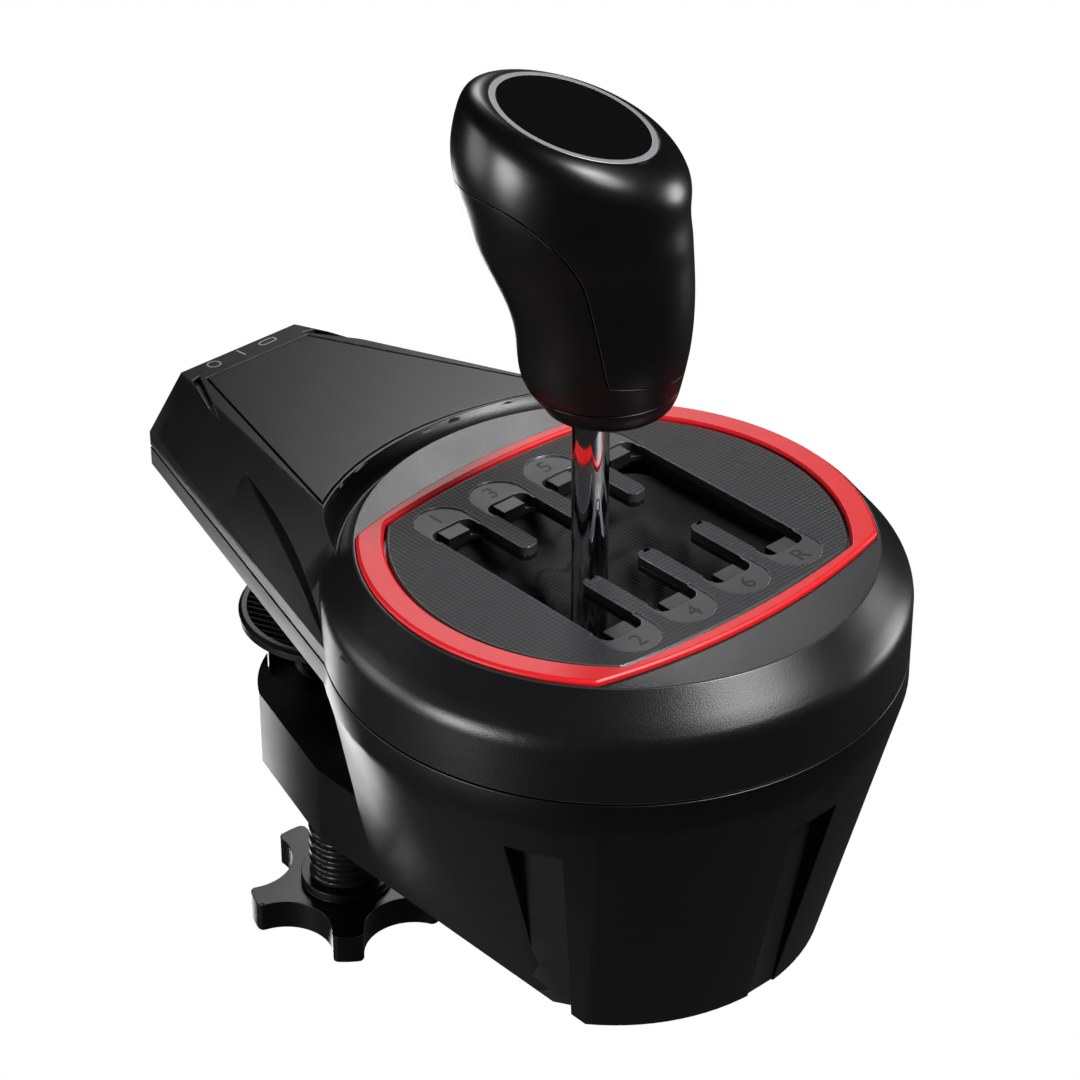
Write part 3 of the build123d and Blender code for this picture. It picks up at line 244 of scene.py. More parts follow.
class Graph:
    """A material's node graph, built through one node-making method."""

    def __init__(self, name: str) -> None:
        self.material = bpy.data.materials.new(name)
        self.material.use_nodes = True
        self.tree = self.material.node_tree
        self.shader = self.tree.nodes["Principled BSDF"]

    def make(self, kind: str, inputs: dict[int | str, "Socket | float | Sequence[float]"],
             out: int | str = 0, **settings: object) -> Socket:
        """Add one node.

        Args:
            kind: Blender's name of the node's type.
            inputs: Sockets or plain values by input.
            out: Output that is handed back.
            **settings: Properties set on the node before its inputs.

        Returns:
            The chosen output, wrapped.
        """
        node = self.tree.nodes.new(kind)
        for name, value in settings.items():
            setattr(node, name, value)
        for key, value in inputs.items():
            self.feed(node.inputs[key], value)
        return Socket(self, node.outputs[out])

    def feed(self, target: bpy.types.NodeSocket, value: "Socket | float | Sequence[float]") -> None:
        """Link a wrapped output to an input, or set a plain value on it."""
        if isinstance(value, Socket):
            self.tree.links.new(value.output, target)
        else:
            target.default_value = value

    def place(self) -> Socket:
        """Object coordinates."""
        return self.make("ShaderNodeTexCoord", {}, out="Object")

    def axis(self, number: int) -> Socket:
        """One of the three Object coordinates."""
        return self.make("ShaderNodeSeparateXYZ", {0: self.place()}, out=number)

    def noise(self, scale: float, detail: float = 2.0) -> Socket:
        """Fractal noise over Object coordinates."""
        inputs = {"Vector": self.place(), "Scale": scale, "Detail": detail}
        return self.make("ShaderNodeTexNoise", inputs)

    def tint(self, factor: Socket, low: Sequence[float], high: Sequence[float]) -> Socket:
        """A colour between two others."""
        inputs = {0: factor, 6: (*low, 1.0), 7: (*high, 1.0)}
        return self.make("ShaderNodeMix", inputs, out=2, data_type="RGBA")

    def relief(self, height: Socket, depth: float) -> None:
        """Turn the shader's normal by a height map of a given depth."""
        bump = self.make("ShaderNodeBump", {"Height": height, "Distance": depth, "Strength": 1.0})
        self.feed(self.shader.inputs["Normal"], bump)


@dataclass
class Painter:
    """Makes each finish's material once.

    Attributes:
        made: Materials by slot.
        wander: Scale of the slow drift in roughness, per metre.
        speckle: Scale of the drift in colour, per metre.
        coat_roughness: Roughness of every clear layer.
        pits: Scale and weight of the noise over the diamonds.
        fuzz: Scale and weight of the noise over the weave.
        brush: Stretch of the brushing along its lines and across them.
        slant: How far the weave leans with height.
    """

    made: dict[str, bpy.types.Material] = field(default_factory=dict)
    wander: float = 60.0
    speckle: float = 220.0
    coat_roughness: float = 0.08
    pits: tuple[float, float] = (4200.0, 0.6)
    fuzz: tuple[float, float] = (2500.0, 0.3)
    brush: tuple[float, float] = (0.2, 4.0)
    slant: float = 0.7

    def material(self, slot: str) -> bpy.types.Material:
        """The material of a slot, made when first asked for."""
        if slot not in self.made:
            self.made[slot] = self.build(FINISHES[slot])
        return self.made[slot]

    def relief(self, graph: Graph, finish: Finish) -> Socket | None:
        """Height of the finish's relief over Object coordinates.

        Args:
            graph: Graph that the nodes go in.
            finish: The finish.

        Returns:
            A height, or None for a plain finish. Diamonds and the weave are products of two
            sines of crossed directions, grain is fractal noise, and brushing is noise stretched
            along X and Y.
        """
        pitch = finish.scale * math.pi
        match finish.surface:
            case Surface.GRAIN:
                return graph.noise(finish.scale, 3.0)
            case Surface.DIAMOND:
                x, y = graph.axis(0), graph.axis(1)
                crossed = ((x + y) * pitch).sine() * ((x - y) * pitch).sine()
                scale, weight = self.pits
                return (crossed + weight * graph.noise(scale)) * graph.axis(2).above(TAB_Z)
            case Surface.BRUSHED:
                x, y, z = graph.axis(0), graph.axis(1), graph.axis(2)
                along, across = self.brush
                inputs = {0: x * along, 1: y * along, 2: z * across}
                flat = graph.make("ShaderNodeCombineXYZ", inputs)
                return graph.make("ShaderNodeTexNoise", {"Vector": flat, "Scale": finish.scale})
            case Surface.WOVEN:
                x, y, z = graph.axis(0), graph.axis(1), graph.axis(2)
                warp = ((x + self.slant * z) * pitch).sine()
                weft = ((y + self.slant * z) * pitch).sine()
                scale, weight = self.fuzz
                return abs(warp * weft) + weight * graph.noise(scale)
            case _:
                return None

    def build(self, finish: Finish) -> bpy.types.Material:
        """Build the shader graph of one finish.

        Args:
            finish: What it should look like.

        Returns:
            The new material.
        """
        graph = Graph(finish.slot)
        shader = graph.shader.inputs
        shader["Metallic"].default_value = finish.metallic
        shader["Coat Weight"].default_value = finish.coat
        shader["Coat Roughness"].default_value = self.coat_roughness
        drift = graph.noise(self.wander)
        graph.feed(shader["Roughness"], (drift - 0.5) * (2.0 * finish.spread) + finish.roughness)
        low = tuple((1.0 - finish.mottle) * c for c in finish.colour)
        high = tuple((1.0 + finish.mottle) * c for c in finish.colour)
        graph.feed(shader["Base Color"], graph.tint(graph.noise(self.speckle, 3.0), low, high))
        height = self.relief(graph, finish)
        if height is not None:
            graph.relief(height, finish.height)
        return graph.material


def grid_faces(rows: int, columns: int, closed: bool) -> np.ndarray:
    """Quads over a grid of points stored row by row.

    Args:
        rows: Number of rows.
        columns: Points in each row.
        closed: True if each row closes on itself.

    Returns:
        Four vertex numbers for each quad.
    """
    row = np.arange(rows - 1)[:, None] * columns
    column = np.arange(columns if closed else columns - 1)[None, :]
    after = (column + 1) % columns
    corners = [row + column, row + after, row + columns + after, row + columns + column]
    return np.stack(corners, axis=-1).reshape(-1, 4)


def turned(radius: np.ndarray, height: np.ndarray, sides: int) -> np.ndarray:
    """Surface of revolution: each (radius, height) pair turned about the clamp screw's axis.

    Args:
        radius: Radii along the profile.
        height: Heights along the profile.
        sides: Points round the axis.

    Returns:
        Points, ring by ring.
    """
    angle = np.linspace(0.0, TURN, sides, endpoint=False)
    r, a = np.meshgrid(radius, angle, indexing="ij")
    z = np.repeat(height[:, None], sides, axis=1)
    return np.stack([r * np.cos(a), r * np.sin(a), z], axis=-1).reshape(-1, 3)


@dataclass
class Workshop:
    """Makes pieces, gives them their finish and puts them on their body."""

    frame: dict
    painter: Painter = field(default_factory=Painter)
    letter_half: float = 0.02 * MM
    letter_steps: int = 6

    def piece(self, name: str, points: np.ndarray, faces: np.ndarray, slot: str,
              crease: float = 35.0) -> bpy.types.Object:
        """Make a smooth-shaded mesh object at the origin.

        Args:
            name: The piece's name.
            points: Vertex places, one row each.
            faces: Vertex numbers, one row for each face.
            slot: Finish of the piece.
            crease: Edges sharper than this many degrees stay sharp.

        Returns:
            The new object.
        """
        data = bpy.data.meshes.new(name)
        data.from_pydata(points.tolist(), [], faces.tolist())
        data.polygons.foreach_set("use_smooth", np.ones(len(data.polygons), bool))
        data.set_sharp_from_angle(angle=math.radians(crease))
        data.materials.append(self.painter.material(slot))
        made = bpy.data.objects.new(name, data)
        bpy.context.scene.collection.objects.link(made)
        LOG.info("%s: %d faces", name, len(faces))
        return made

    def place(self, piece: bpy.types.Object, body: Body, slot: str | None = None,
              stands_for: Sequence[str] = ()) -> bpy.types.Object:
        """Put a piece on its body, and hide the nodes it stands for."""
        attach(piece, body.value)
        if stands_for:
            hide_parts(*stands_for)
        return piece

    def lettering(self, name: str, words: str, size: float, place: Matrix,
                  slot: str) -> bpy.types.Object:
        """A short line of lettering as a thin mesh.

        Args:
            name: The piece's name.
            words: What it says.
            size: Height of the letters' body in metres.
            place: Where its middle goes and how it is turned.
            slot: Its finish.

        Returns:
            The new object.
        """
        curve = bpy.data.curves.new(name, "FONT")
        curve.body, curve.size, curve.extrude = words, size, self.letter_half
        curve.align_x, curve.align_y, curve.resolution_u = "CENTER", "CENTER", self.letter_steps
        line = bpy.data.objects.new(name + "_line", curve)
        bpy.context.scene.collection.objects.link(line)
        graph = bpy.context.evaluated_depsgraph_get()
        data = bpy.data.meshes.new_from_object(line.evaluated_get(graph))
        bpy.data.objects.remove(line)
        data.transform(place)
        data.materials.clear()
        data.materials.append(self.painter.material(slot))
        made = bpy.data.objects.new(name, data)
        bpy.context.scene.collection.objects.link(made)
        return made


@dataclass
class CadDress:
    """Finishes and small roundings of the nodes that stay in view, with a painted highlight on some
    nodes' roundings and painted shade inside the bucket's pockets.
    """

    # Nodes whose roundings get a lighter finish, a painted edge highlight.
    highlight_edged: dict[str, str] = field(default_factory=lambda: {
        "gate_plate": "edge_bright", "top_shell": "painted_soft_edge_highlight", "tail_panel": "painted_soft_edge_highlight",
        "knob_main_shell": "painted_soft_edge_highlight"})
    silver: str = "emblem_ring"
    pocketed: str = "lower_shell"
    pocket_turns: tuple[float, ...] = (210.0, 270.0, 330.0)
    pocket_top_z: float = -13.4 * MM
    pocket_low_z: float = -78.8 * MM
    pocket_half: tuple[float, float] = (4.6 * MM, 7.6 * MM)
    pocket_near: float = 30.0 * MM
    pocket_slack: float = 0.1 * MM
    pocket_reach: float = 1.01
    weld: float = 2e-6
    rounding: float = 0.1
    segments: int = 2
    crease: float = 32.0

    def paint_pocket_shade(self, mesh: bpy.types.Mesh) -> None:
        """Give the faces inside the bucket's pockets the second material, a darker, matte one:
        painted shade in the recesses.

        A face lies in a pocket if its middle is nearer to the pocket's upright middle plane than
        the pocket's half width, which grows in a straight line from the low end to the top.
        """
        middle = np.empty(3 * len(mesh.polygons))
        mesh.polygons.foreach_get("center", middle)
        x, y, z = middle.reshape(-1, 3).T
        share = (z - self.pocket_low_z) / (self.pocket_top_z - self.pocket_low_z)
        half = self.pocket_half[0] + (self.pocket_half[1] - self.pocket_half[0]) * share
        inside = np.zeros(len(x), bool)
        for turn in np.radians(self.pocket_turns):
            out = x * math.cos(turn) + (y - GATE.y) * math.sin(turn)
            side = (y - GATE.y) * math.cos(turn) - x * math.sin(turn)
            between = (share > 0.0) & (share < self.pocket_reach)
            inside |= (np.abs(side) < half + self.pocket_slack) & (out > self.pocket_near) & between
        mesh.polygons.foreach_set("material_index", inside.astype(np.int32))

    def build(self, shop: Workshop) -> None:
        """Dress every CAD node."""
        slots = {part["node"]: part["material_slot"] for part in shop.frame["record"]["subparts"]}
        for name, node in shop.frame["nodes"].items():
            mesh = node.data
            mesh.materials.clear()
            mesh.materials.append(shop.painter.material(slots[name]))
            if "custom_normal" in mesh.attributes:
                mesh.attributes.remove(mesh.attributes["custom_normal"])
            mesh.polygons.foreach_set("use_smooth", np.ones(len(mesh.polygons), bool))
            weld = node.modifiers.new("weld", "WELD")
            weld.merge_threshold = self.weld
            rounding = node.modifiers.new("rounding", "BEVEL")
            rounding.width = ROUNDINGS.get(name, self.rounding) * MM
            rounding.segments = self.segments
            rounding.limit_method = "ANGLE"
            rounding.angle_limit = math.radians(self.crease)
            rounding.harden_normals = True
            rounding.use_clamp_overlap = name not in ROUNDINGS
            # A lighter finish on these roundings: a painted edge highlight.
            if name in self.highlight_edged:
                mesh.materials.append(shop.painter.material(self.highlight_edged[name]))
                rounding.material = 1
            # The faces inside the pockets get a darker, matte finish: painted shade.
            if name == self.pocketed:
                mesh.materials.append(shop.painter.material("pocket_painted_shade"))
                self.paint_pocket_shade(mesh)
            if name == self.silver:
                mesh.materials[0] = shop.painter.material("emblem_silver")


@dataclass
class ClampScrew:
    """The clamp's threaded screw and its plain neck."""

    pitch: float = 4.0 * MM
    minor: float = 9.7 * MM
    major: float = 11.0 * MM
    neck: float = 7.0 * MM
    shoulder_z: float = -52.0 * MM
    step: float = 0.4 * MM
    crest_half: float = 0.34
    flank: float = 0.14
    rim: float = 1.0 * MM
    rise: float = 0.4 * MM
    chamfer: float = 0.5 * MM
    pole: float = 0.01 * MM
    sides: int = 72

    def build(self, shop: Workshop) -> None:
        """Make the screw: its radius rises from root to crest with z / pitch - angle / turn."""
        low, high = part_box("clamp_screw")
        levels = np.arange(low.z, self.shoulder_z, self.step)
        angle = np.linspace(0.0, TURN, self.sides, endpoint=False)
        z, a = np.meshgrid(levels, angle, indexing="ij")
        phase = np.mod(z / self.pitch - a / TURN, 1.0)
        crest = np.clip((self.crest_half - np.abs(phase - 0.5)) / self.flank, 0.0, 1.0)
        radius = self.minor + (self.major - self.minor) * crest
        shaft = np.stack([radius * np.cos(a), radius * np.sin(a), z], axis=-1).reshape(-1, 3)
        radii = [self.minor - self.rim, self.neck, self.neck, self.neck - self.chamfer, self.pole]
        heights = [self.shoulder_z, self.shoulder_z + self.rise, high.z - self.chamfer, high.z,
                   high.z]
        points = np.vstack([shaft, turned(np.array(radii), np.array(heights), self.sides)])
        faces = grid_faces(len(points) // self.sides, self.sides, True)
        piece = shop.piece("screw_thread", points, faces, "thread_black", 60.0)
        shop.place(piece, Body.SCREW, "thread_black", ["clamp_screw"])


@dataclass
class PressurePad:
    """The ribbed face of the clamp's pad."""

    rib_pitch: float = 2.4 * MM
    rib_depth: float = 0.9 * MM
    turn: float = 25.0
    rows: int = 155
    columns: int = 60

    def build(self, shop: Workshop) -> None:
        """Make the face: a disc whose height falls by half a cosine wave across each rib."""
        low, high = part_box("pad_face")
        radius = (high.x - low.x) / 2.0
        across = np.linspace(-radius, radius, self.rows)
        share = np.linspace(-1.0, 1.0, self.columns)
        x, t = np.meshgrid(across, share, indexing="ij")
        y = np.sqrt(np.maximum(radius**2 - x**2, 1e-10)) * t
        z = high.z - self.rib_depth * (0.5 - 0.5 * np.cos(TURN * x / self.rib_pitch))
        spin = math.radians(self.turn)
        east = x * math.cos(spin) - y * math.sin(spin)
        north = x * math.sin(spin) + y * math.cos(spin)
        points = np.stack([east, north, z], axis=-1).reshape(-1, 3)
        faces = grid_faces(self.rows, self.columns, False)[:, ::-1]
        piece = shop.piece("pad_ribs", points, faces, "rubber_black", 80.0)
        shop.place(piece, Body.PAD, "rubber_black", ["pad_face"])


@dataclass
class Boot:
    """The woven boot, made in two rings."""

    top_z: float = 28.2 * MM
    foot_z: float = 2.2 * MM
    half_x: float = 37.2 * MM
    half_y: float = 32.6 * MM
    foot: float = 9.4 * MM
    folds: int = 11
    fold_depth: float = 1.3 * MM
    ripple: float = 1.0 * MM
    corner: float = 5.0
    corner_loss: float = 3.0
    corner_run: float = 1.6
    ease: float = 1.4
    twist: float = 4.0
    ripples: float = 9.0
    fold_lift: float = 0.6
    sag: float = 1.1
    split: float = 0.3
    sides: int = 180
    rows: int = 36

    def surface(self, shares: np.ndarray) -> np.ndarray:
        """Points of the boot between two levels.

        Args:
            shares: Levels, 0 at the frame and 1 at the collar.

        Returns:
            Points, ring by ring. Each ring is a superellipse that turns from a rounded rectangle
            into the collar's circle, pushed in and out by a sine of the angle and up and down by a
            sine of the level.
        """
        angle = np.linspace(0.0, TURN, self.sides, endpoint=False)
        s, a = np.meshgrid(shares, angle, indexing="ij")
        cos, sin = np.cos(a), np.sin(a)
        power = self.corner - self.corner_loss * np.minimum(1.0, self.corner_run * s)
        unit = (np.abs(cos) ** power + np.abs(sin) ** power) ** (-1.0 / power)
        ease = 1.0 - (1.0 - s) ** self.ease
        swell = np.sin(math.pi * s)
        fold = self.fold_depth * swell * np.sin(self.folds * a + self.twist * s)
        radius_x = (1.0 - ease) * self.half_x * unit + ease * self.foot + fold
        radius_y = (1.0 - ease) * self.half_y * unit + ease * self.foot + fold
        lift = self.ripple * swell * np.sin(self.ripples * math.pi * s) + self.fold_lift * fold
        x = radius_x * cos + LEVER_X * s
        y = radius_y * sin + GATE.y
        z = self.top_z + (self.foot_z - self.top_z) * s**self.sag + lift
        return np.stack([x, y, z], axis=-1).reshape(-1, 3)

    def build(self, shop: Workshop) -> None:
        """Make both rings, the outer from the frame up to the split and the inner from the split to
        the collar.
        """
        for name, start, end, first, second in (
                ("boot_outer", 0.0, self.split, Body.BASE, Body.YOKE),
                ("boot_inner", self.split, 1.0, Body.YOKE, Body.LEVER)):
            points = self.surface(np.linspace(start, end, self.rows))
            faces = grid_faces(self.rows, self.sides, True)[:, ::-1]
            piece = shop.piece(name, points, faces, "boot_fabric", 180.0)
            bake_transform(piece)
            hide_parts("shift_boot")


@dataclass
class Gate:
    """Numbers in the gate's label tabs."""

    pitch: float = 19.0 * MM
    front: float = 37.4 * MM
    rear: float = -37.7 * MM
    number_size: float = 7.0 * MM
    number_z: float = 35.64 * MM
    gears: tuple[tuple[str, str], ...] = (("1", "2"), ("3", "4"), ("5", "6"), ("7", "R"))

    def build(self, shop: Workshop) -> None:
        """Put one number in each tab."""
        for lane, pair in enumerate(self.gears):
            x = (lane - (len(self.gears) - 1) / 2.0) * self.pitch
            for words, y in zip(pair, (self.front, self.rear)):
                place = Matrix.Translation((x, y + GATE.y, self.number_z))
                piece = shop.lettering("gear_" + words, words, self.number_size, place,
                                       "number_black")
                shop.place(piece, Body.BASE)


@dataclass
class TailMarks:
    """Printed marks near the tail's front edge, above the sockets."""

    forward: float = 152.3 * MM
    front: float = 155.5 * MM
    front_z: float = 26.1 * MM
    slope: float = 0.0956
    lift: float = 0.04 * MM
    line: float = 0.5 * MM
    round_x: float = -11.2 * MM
    round_size: float = 2.1 * MM
    bar_x: float = -1.5 * MM
    bar_size: tuple[float, float] = (0.3 * MM, 2.1 * MM)
    oval_x: float = 8.1 * MM
    oval_size: tuple[float, float] = (3.0 * MM, 1.4 * MM)
    round_power: float = 2.0
    oval_power: float = 3.0
    points: int = 64

    def on_top(self, x: np.ndarray, y: np.ndarray) -> np.ndarray:
        """Points on the tail's sloping top, which rises with the distance from its front edge."""
        z = self.front_z + (self.front - y) * self.slope + self.lift
        return np.stack([x, y + GATE.y, z], axis=-1)

    def outline(self, shop: Workshop, name: str, middle: float, half: tuple[float, float],
                power: float) -> None:
        """A printed line of its own width along a superellipse: |x / a| ^ n + |y / b| ^ n = 1.

        Args:
            shop: Where the piece is made.
            name: The piece's name.
            middle: X of its middle.
            half: Half sizes of its outer edge.
            power: 2 for an ellipse, more for a boxier form.
        """
        angle = np.linspace(0.0, TURN, self.points, endpoint=False)
        cos, sin = np.cos(angle), np.sin(angle)
        x = np.sign(cos) * np.abs(cos) ** (2.0 / power)
        y = np.sign(sin) * np.abs(sin) ** (2.0 / power)
        rings = [self.on_top(middle + (half[0] - cut) * x, self.forward + (half[1] - cut) * y)
                 for cut in (0.0, self.line)]
        piece = shop.piece(name, np.vstack(rings), grid_faces(2, self.points, True), "print_grey")
        shop.place(piece, Body.BASE)

    def build(self, shop: Workshop) -> None:
        """Print the round mark, the bar and the oval."""
        round_half = (self.round_size, self.round_size)
        self.outline(shop, "mark_round", self.round_x, round_half, self.round_power)
        self.outline(shop, "mark_oval", self.oval_x, self.oval_size, self.oval_power)
        x = self.bar_x + self.bar_size[0] * np.array([-1.0, 1.0, 1.0, -1.0])
        y = self.forward + self.bar_size[1] * np.array([-1.0, -1.0, 1.0, 1.0])
        piece = shop.piece("mark_bar", self.on_top(x, y), np.array([[0, 1, 2, 3]]), "print_grey")
        shop.place(piece, Body.BASE)


@dataclass
class FlankRelief:
    """The long low facet on each side of the tail, under a crease that runs down to the body."""

    start: float = 104.0 * MM
    length: float = 70.0 * MM
    start_share: float = 0.66
    bulge: float = 0.06
    height: float = 1.3 * MM
    step: float = 0.09
    sunk: float = 0.05 * MM
    front: float = 155.5 * MM
    low: tuple[float, float, float] = (32.7 * MM, 0.28505, 11.7 * MM)
    top: tuple[float, float, float] = (20.5 * MM, 0.27309, 26.1 * MM)
    top_slope: float = 0.0956
    ridge: float = 0.8
    ridge_fall: float = 0.2
    fade: float = 0.8
    probe: float = 0.01
    rows: int = 90
    columns: int = 24

    def flank(self, y: np.ndarray, share: np.ndarray) -> np.ndarray:
        """Points on the flank, straight from its low edge (share 0) to its top edge (share 1)."""
        back = self.front - y
        low = np.stack([-self.low[0] - back * self.low[1], y, 0.0 * y + self.low[2]], axis=-1)
        top = np.stack([-self.top[0] - back * self.top[1], y, self.top[2] + back * self.top_slope],
                       axis=-1)
        return low + (top - low) * share[..., None]

    def surface(self) -> np.ndarray:
        """Points of the left facet.

        Returns:
            A grid of points. Along the facet its upper edge sinks in a straight line with a slight
            bulge. Its height over the flank rises evenly from the low edge to the crease, by half a
            sine wave along the length, and then falls back to nothing across a short step.
        """
        s, t = np.meshgrid(np.linspace(0.0, 1.0, self.rows), np.linspace(0.0, 1.0, self.columns),
                           indexing="ij")
        crease = self.start_share * (1.0 - s) + self.bulge * np.sin(math.pi * s)
        rise = np.minimum(t / self.ridge, 1.0)
        fall = np.maximum((t - self.ridge) / self.ridge_fall, 0.0)
        share = crease * rise + self.step * fall * np.sin(math.pi * s)
        y = self.start - self.length * s
        middle = self.flank(y, share)
        along = self.flank(y - MM, share) - middle
        up = self.flank(y, share + self.probe) - middle
        normal = np.cross(up, along)
        normal *= np.sign(-normal[..., :1]) / np.linalg.norm(normal, axis=-1, keepdims=True)
        proud = self.height * np.sin(math.pi * s) ** self.fade * rise * (1.0 - fall)
        proud = proud - self.sunk * (1.0 - rise + fall)
        points = middle + normal * proud[..., None] + np.array(GATE) * [0.0, 1.0, 0.0]
        return points.reshape(-1, 3)

    def build(self, shop: Workshop) -> None:
        """Make the left facet and its mirror image."""
        points = self.surface()
        faces = grid_faces(self.rows, self.columns, False)
        for name, hand in (("flank_left", 1.0), ("flank_right", -1.0)):
            turned_faces = faces if hand > 0.0 else faces[:, ::-1]
            piece = shop.piece(name, points * [hand, 1.0, 1.0], turned_faces, "shell_black", 30.0)
            shop.place(piece, Body.BASE, "shell_black")


@dataclass
class CrownNotchShade:
    """A flat dark patch beside the ring on the grip's crown: painted shade that stands for a small
    notch.
    """

    crown_height: float = 157.34 * MM
    shift: float = -4.6 * MM
    turn: float = -40.0
    lean: float = 18.0
    around: float = -43.0
    near: float = 21.4 * MM
    far: float = 22.5 * MM
    half: float = 2.2 * MM
    taper: float = 0.7

    def build(self, shop: Workshop) -> None:
        """Make the notch's painted shade: a flat tapered matte patch just over the crown, pointing
        outwards.
        """
        turn, lean = math.radians(self.turn), math.radians(self.lean)
        along = Vector((math.cos(turn), math.sin(turn), 0.0))
        across = Vector((math.cos(lean) * along.x, math.cos(lean) * along.y, -math.sin(lean)))
        normal = Vector((math.sin(lean) * along.x, math.sin(lean) * along.y, math.cos(lean)))
        other = normal.cross(across)
        middle = Vector((LEVER_X, GATE.y, self.crown_height)) + along * self.shift
        around = math.radians(self.around)
        out = across * math.cos(around) + other * math.sin(around)
        side = normal.cross(out)
        near, far = middle + out * self.near, middle + out * self.far
        wide, thin = side * self.half, side * self.half * self.taper
        corners = np.array([near - wide, far - thin, far + thin, near + wide])
        # A matte dark patch: the notch's painted shade.
        piece = shop.piece("crown_notch_painted_shade", corners, np.array([[0, 1, 2, 3]]), "number_black")
        shop.place(piece, Body.LEVER)


@dataclass
class Springs:
    """The detent's coil and the two flat spirals that centre the yoke."""

    coil_turns: float = 5.0
    coil_points: int = 200
    wire: float = 0.28 * MM
    spiral_turns: float = 4.0
    spiral_points: int = 240
    spiral_start: float = 5.0 * MM
    spiral_inset: float = 0.5 * MM
    ring: int = 8

    def tube(self, path: np.ndarray, side: np.ndarray, up: np.ndarray, radius: float) -> np.ndarray:
        """A round wire: each path point plus a circle in the plane of two given directions."""
        angle = np.linspace(0.0, TURN, self.ring, endpoint=False)
        cos, sin = np.cos(angle)[None, :, None], np.sin(angle)[None, :, None]
        offset = cos * side[:, None, :] + sin * up[:, None, :]
        return (path[:, None, :] + radius * offset).reshape(-1, 3)

    def build(self, shop: Workshop) -> None:
        """Make the coil as a helix, and each spiral as an arc whose radius grows with its angle."""
        low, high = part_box("detent_spring")
        turn = np.linspace(0.0, TURN * self.coil_turns, self.coil_points)
        radius = (high.x - low.x) / 2.0 - self.wire
        out = np.stack([np.cos(turn), np.sin(turn), 0.0 * turn], axis=-1)
        path = out * radius + np.array([LEVER_X, GATE.y, 0.0])
        path[:, 2] = np.linspace(low.z + self.wire, high.z - self.wire, len(turn))
        up = np.tile([0.0, 0.0, 1.0], (len(turn), 1))
        coil = shop.piece("detent_coil", self.tube(path, out, up, self.wire),
                          grid_faces(len(turn), self.ring, True)[:, ::-1], "screw_steel", 180.0)
        shop.place(coil, Body.LEVER, "screw_steel", ["detent_spring"])
        low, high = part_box("centring_springs")
        turn = np.linspace(0.0, TURN * self.spiral_turns, self.spiral_points)
        growth = np.linspace(self.spiral_start, (high.x - low.x) / 2.0 - self.wire, len(turn))
        out = np.stack([np.cos(turn), 0.0 * turn, np.sin(turn)], axis=-1)
        up = np.tile([0.0, 1.0, 0.0], (len(turn), 1))
        for name, y in (("spiral_front", high.y - self.spiral_inset),
                        ("spiral_rear", low.y + self.spiral_inset)):
            path = out * growth[:, None] + np.array([LEVER_X, y, PIVOT_Z])
            spiral = shop.piece(name, self.tube(path, out, up, self.wire),
                                grid_faces(len(turn), self.ring, True), "screw_steel", 180.0)
            shop.place(spiral, Body.BASE, "screw_steel", ["centring_springs"])


@dataclass(frozen=True)
class SoftLamp:
    """One round soft lamp.

    Attributes:
        name: Its name.
        place: Where it hangs.
        width: Its diameter in metres.
        power: Watts.
    """

    name: str
    place: tuple[float, float, float]
    width: float
    power: float


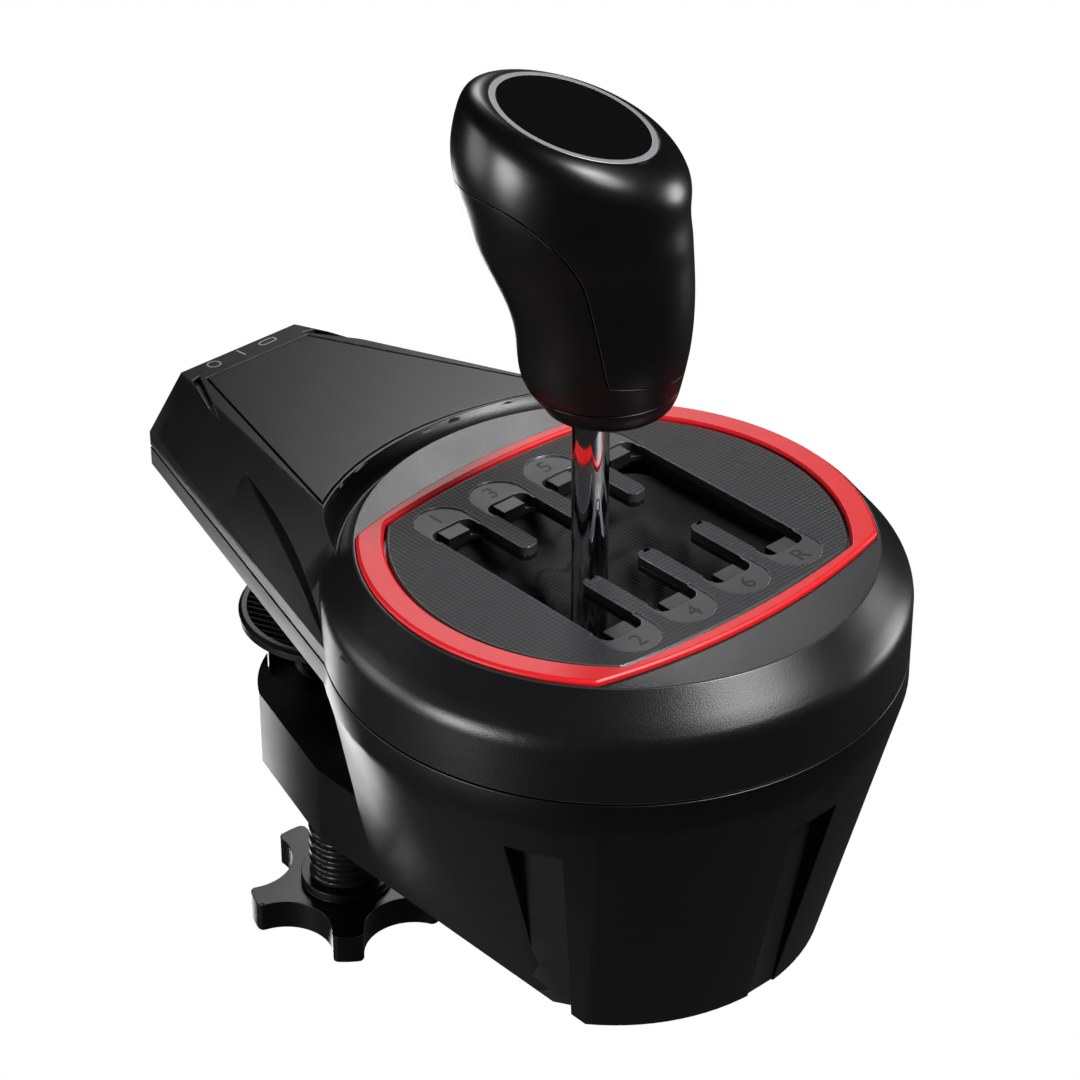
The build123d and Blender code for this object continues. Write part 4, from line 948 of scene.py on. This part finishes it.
@dataclass
class Studio:
    """Lights, pale surroundings, floor and camera."""

    lamps: tuple[SoftLamp, ...] = (
        SoftLamp("left", (-1.27, 0.09, -0.17), 0.54, 11.4),
        SoftLamp("back_right", (0.71, 0.73, 0.71), 0.32, 2.2),
        SoftLamp("right", (1.23, -0.51, -0.07), 0.49, 5.0),
        SoftLamp("low_back", (0.34, 0.91, -0.75), 0.59, 4.0),
        SoftLamp("high_front", (0.18, -0.89, 1.02), 0.4, 7.6),
        SoftLamp("back_left", (-0.92, 0.82, -0.05), 0.69, 3.6),
        SoftLamp("front", (0.21, -1.08, 0.83), 0.68, 11.8),
    )
    aim: tuple[float, float, float] = (0.0, -0.1, 0.0)
    floor_z: float = -1.2
    floor_half: float = 8.0
    floor_tone: float = 0.1
    floor_roughness: float = 0.9
    dim: float = 0.015
    azimuth: float = 0.743669
    elevation: float = 0.569325
    distance: float = 919.96 * MM
    aside: tuple[float, float] = (19.62 * MM, 1.225 * MM)
    lens: float = 120.0
    sensor: float = 36.0
    clip: tuple[float, float] = (0.05, 30.0)

    def aimed(self, place: Vector, aim: Vector) -> Matrix:
        """A matrix at a place whose -Z points at an aim."""
        turn = (aim - place).to_track_quat("-Z", "Y")
        return Matrix.Translation(place) @ turn.to_matrix().to_4x4()

    def hang_lights(self) -> None:
        """Hang the soft lamps and set the world, white to the camera and dim to the object."""
        for lamp in self.lamps:
            data = bpy.data.lights.new(lamp.name, "AREA")
            data.shape, data.size, data.energy = "DISK", lamp.width, lamp.power
            hung = bpy.data.objects.new(lamp.name, data)
            hung.matrix_world = self.aimed(Vector(lamp.place), Vector(self.aim))
            bpy.context.scene.collection.objects.link(hung)
        world = bpy.data.worlds.new("pale")
        world.use_nodes = True
        tree = world.node_tree
        rays = tree.nodes.new("ShaderNodeLightPath")
        strength = tree.nodes.new("ShaderNodeMath")
        strength.operation = "MULTIPLY_ADD"
        tree.links.new(rays.outputs["Is Camera Ray"], strength.inputs[0])
        strength.inputs[1].default_value = 1.0 - self.dim
        strength.inputs[2].default_value = self.dim
        background = tree.nodes["Background"]
        background.inputs[0].default_value = (1.0, 1.0, 1.0, 1.0)
        tree.links.new(strength.outputs[0], background.inputs[1])
        bpy.context.scene.world = world

    def lay_floor(self) -> None:
        """Lay a floor that is white to the camera and throws little light back at the object."""
        half, z = self.floor_half, self.floor_z
        data = bpy.data.meshes.new("floor")
        data.from_pydata([(-half, -half, z), (half, -half, z), (half, half, z), (-half, half, z)],
                         [], [(0, 1, 2, 3)])
        graph = Graph("floor")
        graph.shader.inputs["Base Color"].default_value = (*(self.floor_tone,) * 3, 1.0)
        graph.shader.inputs["Roughness"].default_value = self.floor_roughness
        camera_ray = graph.make("ShaderNodeLightPath", {}, out="Is Camera Ray")
        glow = graph.make("ShaderNodeEmission", {"Color": (1.0, 1.0, 1.0, 1.0), "Strength": 1.0})
        plain = Socket(graph, graph.shader.outputs[0])
        mixed = graph.make("ShaderNodeMixShader", {0: camera_ray, 1: plain, 2: glow})
        graph.feed(graph.tree.nodes["Material Output"].inputs["Surface"], mixed)
        data.materials.append(graph.material)
        floor = bpy.data.objects.new("floor", data)
        bpy.context.scene.collection.objects.link(floor)

    def set_camera(self) -> None:
        """Set the camera where the photograph's was."""
        look = Vector((math.sin(self.azimuth) * math.cos(self.elevation),
                       math.cos(self.azimuth) * math.cos(self.elevation),
                       -math.sin(self.elevation)))
        right = Vector((math.cos(self.azimuth), -math.sin(self.azimuth), 0.0))
        above = right.cross(look)
        data = bpy.data.cameras.new("view")
        data.lens, data.sensor_width = self.lens, self.sensor
        data.clip_start, data.clip_end = self.clip
        camera = bpy.data.objects.new("view", data)
        place = GATE - (look * self.distance + right * self.aside[0] + above * self.aside[1])
        turn = Matrix((right, above, -look)).transposed().to_4x4()
        camera.matrix_world = Matrix.Translation(place) @ turn
        bpy.context.scene.collection.objects.link(camera)
        bpy.context.scene.camera = camera
        bpy.context.scene.view_settings.view_transform = "Standard"

    def build(self) -> None:
        """Build all of the studio."""
        self.hang_lights()
        self.lay_floor()
        self.set_camera()


def main() -> None:
    """Build the visual model on its frame."""
    logging.basicConfig(level=logging.INFO)
    for leftover in list(bpy.data.objects):
        bpy.data.objects.remove(leftover)
    shop = Workshop(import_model())
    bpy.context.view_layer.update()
    for part in (CadDress(), ClampScrew(), PressurePad(), Boot(), Gate(), TailMarks(),
                 FlankRelief(), CrownNotchShade(), Springs()):
        part.build(shop)
        LOG.info("built %s", type(part).__name__)
    Studio().build()


if __name__ == "__main__":
    main()
